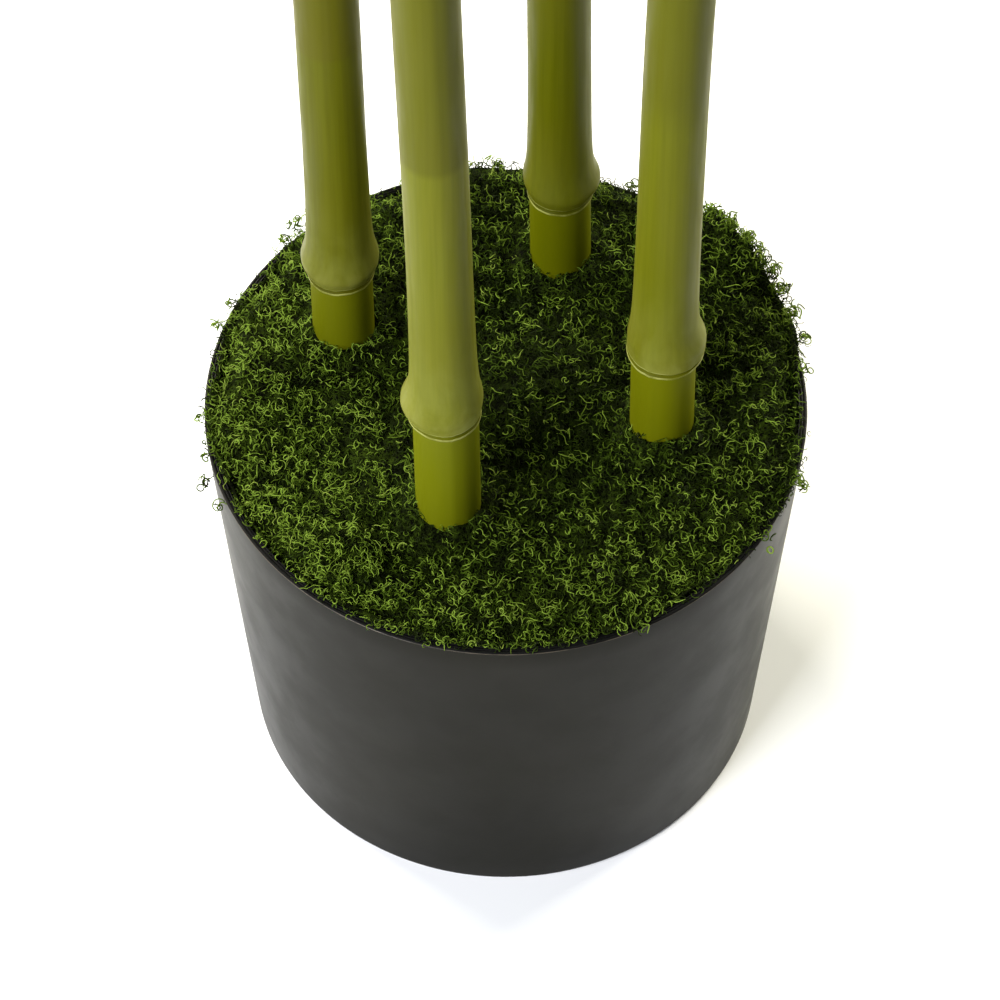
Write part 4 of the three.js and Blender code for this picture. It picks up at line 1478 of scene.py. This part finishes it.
def build_moss(look):
    """Thousands of curly fibres in tufts, and loose curls that hang over the rim."""
    rng = np.random.default_rng(MOSS_SEED)
    materials = greens_of(look, fibre_paint, "moss_green")
    tufts = moss_tufts(rng)
    thickness = look.fibre_thickness * MM_PER_M / 2

    places, green = fibre_places(rng, look.curls, tufts, TOP_LAYER)
    curls = even_curls(rng, places, CURL_STEP, CURL_BEND, CURL_STEPS, CURL_LIE)
    kinds = [("moss_curls", *curls, green)]
    places, green = fibre_places(rng, look.strands, tufts, TOP_LAYER)
    kinds.append(("moss_strands", *wavy_strands(rng, places), green))
    places, green = fibre_places(rng, look.shavings, tufts, DEEP_LAYER)
    shavings = even_curls(rng, places, CURL_STEP, CURL_BEND, CURL_STEPS, SHAVING_LIE)
    kinds.append(("moss_shavings", *shavings, green))

    for name, paths, axis, green in kinds:
        quarter = (paths[:, 0, 0] > 0).astype(int) + 2 * (paths[:, 0, 1] > 0)
        for part in range(MOSS_PIECES):
            chosen = quarter == part
            gathered = Gathered()
            if name == "moss_shavings":
                width = rng.uniform(*SHAVING_WIDTH, np.count_nonzero(chosen))
                add_ribbons(gathered, paths[chosen], width, axis[chosen], green[chosen])
            else:
                add_fibres(gathered, rng, paths[chosen], axis[chosen], green[chosen], thickness)
            gathered.piece(f"{name}_{part + 1}", materials, "moss", ["moss"])

    places, green = stray_places(rng)
    paths, axis = even_curls(rng, places, STRAY_STEP, STRAY_BEND, STRAY_STEPS, CURL_LIE)
    gathered = Gathered()
    add_fibres(gathered, rng, paths, axis, green, thickness * STRAY_THICKER)
    gathered.piece("moss_strays", materials, "moss", ["moss"])


def cane_stations(cane):
    """Heights above the rim where a cane's surface has a ring, closer at its joints."""
    top = cane_top(cane)
    rings = ring_heights(cane)
    marks = [ring + row[0] for ring in rings for row in JOINT_RELIEF]
    plain = np.arange(CANE_FOOT, top - TIP_CLEAR, INTERNODE_STEP)
    low, high = JOINT_RELIEF[0][0] - RELIEF_REACH, JOINT_RELIEF[-1][0] + RELIEF_REACH
    free = [h for h in plain if all(h < ring + low or h > ring + high for ring in rings)]
    tip = [top - down for down in TIP_ROWS]
    return np.array(sorted(marks + free + tip))


def cane_relief(cane, heights, turn):
    """How far a cane's surface stands out of its plain taper, and how far it is shifted up, by
    height and direction."""
    ups, stubs, beads, swells, grooves = np.array(JOINT_RELIEF).T
    proud, shift = np.zeros(heights.shape), np.zeros(heights.shape)
    for number, ring in enumerate(ring_heights(cane)):
        phase = number * JOINT_PHASE + cane["facing"]
        up = heights - ring
        wave = JOINT_WAVE * (np.sin(2 * turn + phase) + 0.5 * np.sin(5 * turn - phase)) \
            + FINE_WAVE * np.sin(13 * turn + 2 * phase)
        shift += wave * np.exp(-(up / JOINT_WAVE_REACH) ** 2)
        size = HIGHER_JOINT if number else cane
        relief = size["bead"] * np.interp(up, ups, beads, left=0, right=0)
        relief += size["swell"] * np.interp(up, ups, swells, left=0, right=0)
        above = np.exp(-((up - SWELL_MIDDLE) / SWELL_REACH) ** 2)
        side = np.cos(turn - (phase if number else 0))
        oval = SWELL_OVAL * np.sin(turn * 2 + phase)
        proud += relief * (1 + (size["lean"] * side + oval) * above)
        proud += size["stub"] * np.interp(up, ups, stubs, left=1 if number == 0 else 0, right=0)
        proud -= GROOVE_DEPTH * np.interp(up, ups, grooves, left=0, right=0)
    gap = (turn - math.radians(cane["seam"]) + math.pi) % (2 * math.pi) - math.pi
    seam = np.exp(-(gap / SEAM_WIDTH) ** 2) \
        + BACK_SEAM * np.exp(-((np.abs(gap) - math.pi) / SEAM_WIDTH) ** 2)
    slow = CANE_UNEVEN * np.sin(heights / UNEVEN_LENGTH + cane["facing"]) \
        * np.cos(turn + heights / UNEVEN_TURN)
    return proud + SEAM_PROUD * seam + slow, shift


def row_slots(cane, heights):
    """1 for each row of a cane's surface that is worn light at a joint, partly a painted highlight,
    2 for each that lies in its groove under painted shade, and otherwise 0."""
    slots = np.zeros(len(heights) - 1, int)
    for slot, starts in ((1, WORN_AND_HIGHLIGHT_ROWS), (2, GROOVE_SHADE_ROWS)):
        marks = np.array([ring + up for ring in ring_heights(cane) for up in starts])
        slots[np.isclose(heights[:-1, None], marks[None], atol=1e-6).any(axis=1)] = slot
    return slots


def build_cane(number, cane, look, tone):
    """One cane with wavy beads, grooves and swellings at its joints and a mould seam."""
    heights = cane_stations(cane)
    grid_height, grid_turn = np.meshgrid(heights, turns(CANE_SIDES), indexing="ij")
    shape = cane_radius(cane, grid_height) / CANE_RADIUS
    proud, shift = cane_relief(cane, grid_height, grid_turn)
    radius = shape * (CANE_RADIUS + proud)
    rounding = np.clip((cane_top(cane) - heights) / TIP_ROUND, 0, 1)
    radius = radius * np.sqrt(1 - (1 - rounding) ** 2 * TIP_CLOSED)[:, None]
    centres = cane_centres(cane, heights)
    rings = np.stack([
        centres[:, None, 0] + radius * np.cos(grid_turn),
        centres[:, None, 1] + radius * np.sin(grid_turn),
        centres[:, None, 2] + shift,
    ], axis=-1)
    gathered = Gathered()
    gathered.add(rings.reshape(-1, 3), ring_faces(1, len(heights), CANE_SIDES),
                 np.repeat(row_slots(cane, heights), CANE_SIDES))
    paints = [cane_paint(f"cane_skin_{number}", look, tone, ring_heights(cane)),
              worn_and_highlight_paint(f"cane_ring_{number}", look, tone),
              groove_shade_paint(f"cane_groove_{number}", look, tone)]
    return gathered.piece(f"cane_skin_{number}", paints, "cane", [f"cane_{number}"],
                          sharp=CANE_SHARP)


def build_boughs(crown, number, materials):
    """Boughs of one cane: a collar at the foot, nodes, and a slow taper."""
    gathered = Gathered()
    for bough in crown.boughs[number - 1]:
        curve = bough["curve"]
        start = CANE_RADIUS * 0.5 / BOUGH_LENGTH[bough["tier"]]
        ts = np.linspace(start, 1, BOUGH_STATIONS)
        path = np.array([curve.point(t) for t in ts])
        out = np.linalg.norm(path - curve.point(0), axis=1)
        radii = BOUGH_RADIUS + (BOUGH_TIP_RADIUS - BOUGH_RADIUS) * ts
        radii = radii * (1 + NODE_PROUD * noded(ts, BOUGH_NODES))
        radii = radii + COLLAR_PROUD * np.exp(-np.maximum(0, out - CANE_RADIUS) / COLLAR_LENGTH)
        add_limb(gathered, path, radii, BOUGH_SIDES)
    nodes = [f"bough_{number}_{side + 1}" for side in range(len(crown.boughs[number - 1]))]
    return gathered.piece(f"boughs_{number}", materials, "bough", nodes)


def build_foliage(crown, number, look, twig_materials, leaf_materials):
    """Twigs and leaves of one cane, each kind joined."""
    random = Random(SPRAY_SEED + number)
    foliage = Foliage(crown, look, random)
    nodes = []
    for mass in crown.masses:
        if mass["cane"] == number:
            foliage.mass(mass, len(leaf_materials))
            nodes.append(mass["name"])
    foliage.twigs.piece(f"twigs_{number}", twig_materials, "bough", nodes)
    points, faces, slots = leaf_meshes(foliage.rows)
    leaves = Gathered()
    leaves.add(points, faces, slots)
    return leaves.piece(f"leaves_{number}", leaf_materials, "leaf", nodes, sharp=LEAF_SHARP)


def add_light(name, place, aim, size, power, tint, spread):
    """A soft square light that points at a place, in metres. Its spread is in degrees."""
    data = bpy.data.lights.new(name, "AREA")
    data.size = size
    data.energy = power
    data.color = tint
    data.spread = math.radians(spread)
    light = bpy.data.objects.new(name, data)
    bpy.context.scene.collection.objects.link(light)
    light.location = place
    way = Vector(aim) - Vector(place)
    light.rotation_euler = way.to_track_quat("-Z", "Y").to_euler()


def build_stage(look):
    """Pale floor, soft studio light and the camera at the photograph's angle."""
    half = FLOOR_SIZE / 2
    mesh = bpy.data.meshes.new("floor")
    mesh.from_pydata([(-half, -half, 0), (half, -half, 0), (half, half, 0), (-half, half, 0)], [],
                     [(0, 1, 2, 3)])
    floor = bpy.data.objects.new("floor", mesh)
    bpy.context.scene.collection.objects.link(floor)
    paint = Paint("studio_floor", tuple(look.floor_colour), 0.9, 0.2)
    paint.roughened(0.85, 0.95, 3, 2, 0.5)
    mesh.materials.append(paint.material)

    world = bpy.data.worlds.new("studio")
    world.use_nodes = True
    background = world.node_tree.nodes["Background"]
    background.inputs["Color"].default_value = (*WHITE, 1)
    background.inputs["Strength"].default_value = look.sky
    bpy.context.scene.world = world
    for name, place, aim, size, power, tint, spread in LIGHTS:
        add_light(name, place, aim, size, getattr(look, power), tint, spread)

    camera_data = bpy.data.cameras.new("camera")
    camera_data.lens = CAMERA_LENS
    camera_data.sensor_width = CAMERA_SENSOR
    camera_data.clip_end = CAMERA_CLIP
    camera = bpy.data.objects.new("camera", camera_data)
    camera.location = [n / MM_PER_M for n in CAMERA_PLACE]
    camera.rotation_euler = (math.radians(CAMERA_TILT), 0, 0)
    bpy.context.scene.collection.objects.link(camera)
    bpy.context.scene.camera = camera
    bpy.context.scene.view_settings.view_transform = "Standard"


# Settings that a user would change

def colour_setting(name, description, colour):
    return FloatVectorProperty(name=name, description=description, default=colour, size=4,
                               subtype="COLOR", min=0, max=1)


def share_setting(name, description, share, least=0.1):
    return FloatProperty(name=name, description=description, default=share, min=least, max=1,
                         subtype="FACTOR")


def count_setting(name, description, count, most):
    return IntProperty(name=name, description=description, default=count, min=100, max=most)


def length_setting(name, description, length, least, most):
    return FloatProperty(name=name, description=description, default=length, min=least, max=most,
                         subtype="DISTANCE", unit="LENGTH", precision=5)


def power_setting(name, place, power):
    return FloatProperty(name=name, description=f"Power of the light {place}", default=power,
                         min=0, max=400, unit="POWER")


class PotSettings(bpy.types.PropertyGroup):
    wall_colour: colour_setting("Wall", "Colour of the pot's wall", linear(18, 17, 9))
    rim_colour: colour_setting("Rim band", "Colour of the black band", linear(10, 10, 11))
    # Worn edge: colour of the tan painted highlight along the rim's and foot's edges
    edge_highlight_colour: colour_setting("Worn edge", "Colour of the thin worn line", linear(74, 67, 56))
    wall_roughness: share_setting("Wall roughness", "How matt the wall is", 0.36)
    wall_gloss: share_setting("Wall gloss", "How strongly the wall mirrors", 0.06, 0)


class MossSettings(bpy.types.PropertyGroup):
    curls: count_setting("Curls", "Number of small curls tried", 11400, 20000)
    strands: count_setting("Strands", "Number of longer strands tried", 4700, 20000)
    shavings: count_setting("Shavings", "Number of flat shavings tried, low down", 17500, 30000)
    fibre_thickness: length_setting("Fibre thickness", "Diameter of a fibre", 0.0004, 0.0003,
                                    0.002)
    green_1: colour_setting("Light green", "Lightest fibres", linear(113, 138, 48))
    green_2: colour_setting("Middle green", "Most common fibres", linear(82, 103, 27))
    green_3: colour_setting("Leaf green", "Darker fibres", linear(51, 69, 11))
    green_4: colour_setting("Deep green", "Shaded fibres", linear(21, 31, 2))
    green_5: colour_setting("Pale green", "Faded fibres", linear(120, 139, 56))


class CaneSettings(bpy.types.PropertyGroup):
    # Bloom: dusty bloom at the joints, partly painted light on the swellings
    bloom_and_light_colour: colour_setting("Bloom", "Dusty bloom at the joints", linear(126, 129, 66))
    # Worn rings: light edges at the joints, worn and partly a painted highlight
    worn_and_highlight_colour: colour_setting("Worn rings", "Light edges at the joints", linear(136, 138, 74))
    roughness: share_setting("Roughness", "How matt the canes are", 0.4)


class LeafSettings(bpy.types.PropertyGroup):
    leaf_length: length_setting("Leaf length", "Usual length of a leaf", 0.112, 0.05, 0.16)
    leaf_width: length_setting("Leaf width", "Usual width of a leaf", 0.0155, 0.006, 0.03)
    bough_colour: colour_setting("Boughs", "Colour of the boughs", linear(118, 124, 52))
    twig_colour: colour_setting("Twigs", "Colour of the twigs", linear(96, 104, 46))
    green_1: colour_setting("Green 1", "Plain green of some sprays", linear(78, 122, 44))
    green_2: colour_setting("Green 2", "Plain green of some sprays", linear(94, 138, 52))
    green_3: colour_setting("Green 3", "Plain green of some sprays", linear(62, 106, 38))
    green_4: colour_setting("Green 4", "Plain green of some sprays", linear(112, 148, 60))
    green_5: colour_setting("Green 5", "Plain green of some sprays", linear(84, 112, 48))


class StageSettings(bpy.types.PropertyGroup):
    floor_colour: colour_setting("Floor", "Colour of the pale floor", linear(247, 249, 255))
    sky: FloatProperty(name="Surround", description="Strength of the white surround",
                       default=0.03, min=0, max=4)
    key_power: power_setting("Key light", "in front on the left", 75)
    back_left_power: power_setting("Back left light", "behind on the left", 52)
    back_right_power: power_setting("Back right light", "behind on the right", 63)
    crown_power: power_setting("Crown lights", "on the crown, for each of the two", 8)


# Operators

class BAMBOO_OT_pot(bpy.types.Operator):
    """Build the pot's shell"""

    bl_idname = "potted_bamboo.pot"
    bl_label = "Pot"

    def execute(self, context):
        build_pot(context.scene.bamboo_pot)
        return {"FINISHED"}


class BAMBOO_OT_fill(bpy.types.Operator):
    """Finish the cement fill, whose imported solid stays"""

    bl_idname = "potted_bamboo.fill"
    bl_label = "Cement fill"

    def execute(self, context):
        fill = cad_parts["cement_fill"]
        fill.material_slots[0].material = cement_paint()
        return {"FINISHED"}


class BAMBOO_OT_moss(bpy.types.Operator):
    """Build the moss's base and its curly fibres"""

    bl_idname = "potted_bamboo.moss"
    bl_label = "Moss"

    def execute(self, context):
        build_bed()
        build_moss(context.scene.bamboo_moss)
        return {"FINISHED"}


class BAMBOO_OT_canes(bpy.types.Operator):
    """Build the four canes"""

    bl_idname = "potted_bamboo.canes"
    bl_label = "Canes"

    def execute(self, context):
        for number, (cane, tone) in enumerate(zip(CANES, CANE_TONES), 1):
            build_cane(number, cane, context.scene.bamboo_canes, tone)
        return {"FINISHED"}


class BAMBOO_OT_crown(bpy.types.Operator):
    """Build the boughs, twigs and leaves"""

    bl_idname = "potted_bamboo.crown"
    bl_label = "Boughs and leaves"

    def execute(self, context):
        look = context.scene.bamboo_leaves
        crown = Crown()
        bark = limb_paint("bough_skin", tuple(look.bough_colour), linear(92, 90, 40), 0.42)
        twig = limb_paint("twig_skin", tuple(look.twig_colour), linear(84, 74, 36), 0.5)
        fine = limb_paint("fine_twig_skin", linear(98, 116, 48), linear(80, 92, 38), 0.5)
        leaves = greens_of(look, leaf_paint, "leaf_green")
        for number in range(1, len(CANES) + 1):
            build_boughs(crown, number, [bark])
            build_foliage(crown, number, look, [twig, fine], leaves)
        return {"FINISHED"}


class BAMBOO_OT_stage(bpy.types.Operator):
    """Set the floor, the lights and the camera"""

    bl_idname = "potted_bamboo.stage"
    bl_label = "Stage"

    def execute(self, context):
        build_stage(context.scene.bamboo_stage)
        return {"FINISHED"}


class BAMBOO_PT_panel(bpy.types.Panel):
    """Settings and steps of the potted bamboo"""

    bl_label = "Potted Bamboo"
    bl_idname = "BAMBOO_PT_panel"
    bl_space_type = "VIEW_3D"
    bl_region_type = "UI"
    bl_category = "Bamboo"

    def draw(self, context):
        for setting, steps in PANEL_ROWS:
            box = self.layout.box()
            group = getattr(context.scene, setting)
            for name in group.__annotations__:
                box.prop(group, name)
            for step in steps:
                box.operator(step)


SETTINGS = {
    "bamboo_pot": PotSettings,
    "bamboo_moss": MossSettings,
    "bamboo_canes": CaneSettings,
    "bamboo_leaves": LeafSettings,
    "bamboo_stage": StageSettings,
}
PANEL_ROWS = [
    ("bamboo_pot", [BAMBOO_OT_pot.bl_idname, BAMBOO_OT_fill.bl_idname]),
    ("bamboo_moss", [BAMBOO_OT_moss.bl_idname]),
    ("bamboo_canes", [BAMBOO_OT_canes.bl_idname]),
    ("bamboo_leaves", [BAMBOO_OT_crown.bl_idname]),
    ("bamboo_stage", [BAMBOO_OT_stage.bl_idname]),
]
OPERATORS = (
    BAMBOO_OT_pot, BAMBOO_OT_fill, BAMBOO_OT_moss, BAMBOO_OT_canes, BAMBOO_OT_crown,
    BAMBOO_OT_stage,
)


def register():
    for name, group in SETTINGS.items():
        bpy.utils.register_class(group)
        setattr(bpy.types.Scene, name, PointerProperty(type=group))
    for item in (*OPERATORS, BAMBOO_PT_panel):
        bpy.utils.register_class(item)


def unregister():
    for item in reversed((*OPERATORS, BAMBOO_PT_panel)):
        bpy.utils.unregister_class(item)
    for name, group in reversed(SETTINGS.items()):
        delattr(bpy.types.Scene, name)
        bpy.utils.unregister_class(group)


def corners(box):
    return [[float(number) for number in corner] for corner in box]


def main():
    register()
    bpy.ops.potted_bamboo.pot()
    bpy.ops.potted_bamboo.fill()
    bpy.ops.potted_bamboo.moss()
    bpy.ops.potted_bamboo.canes()
    bpy.ops.potted_bamboo.crown()
    bpy.ops.potted_bamboo.stage()


if __name__ == "__main__":
    main()
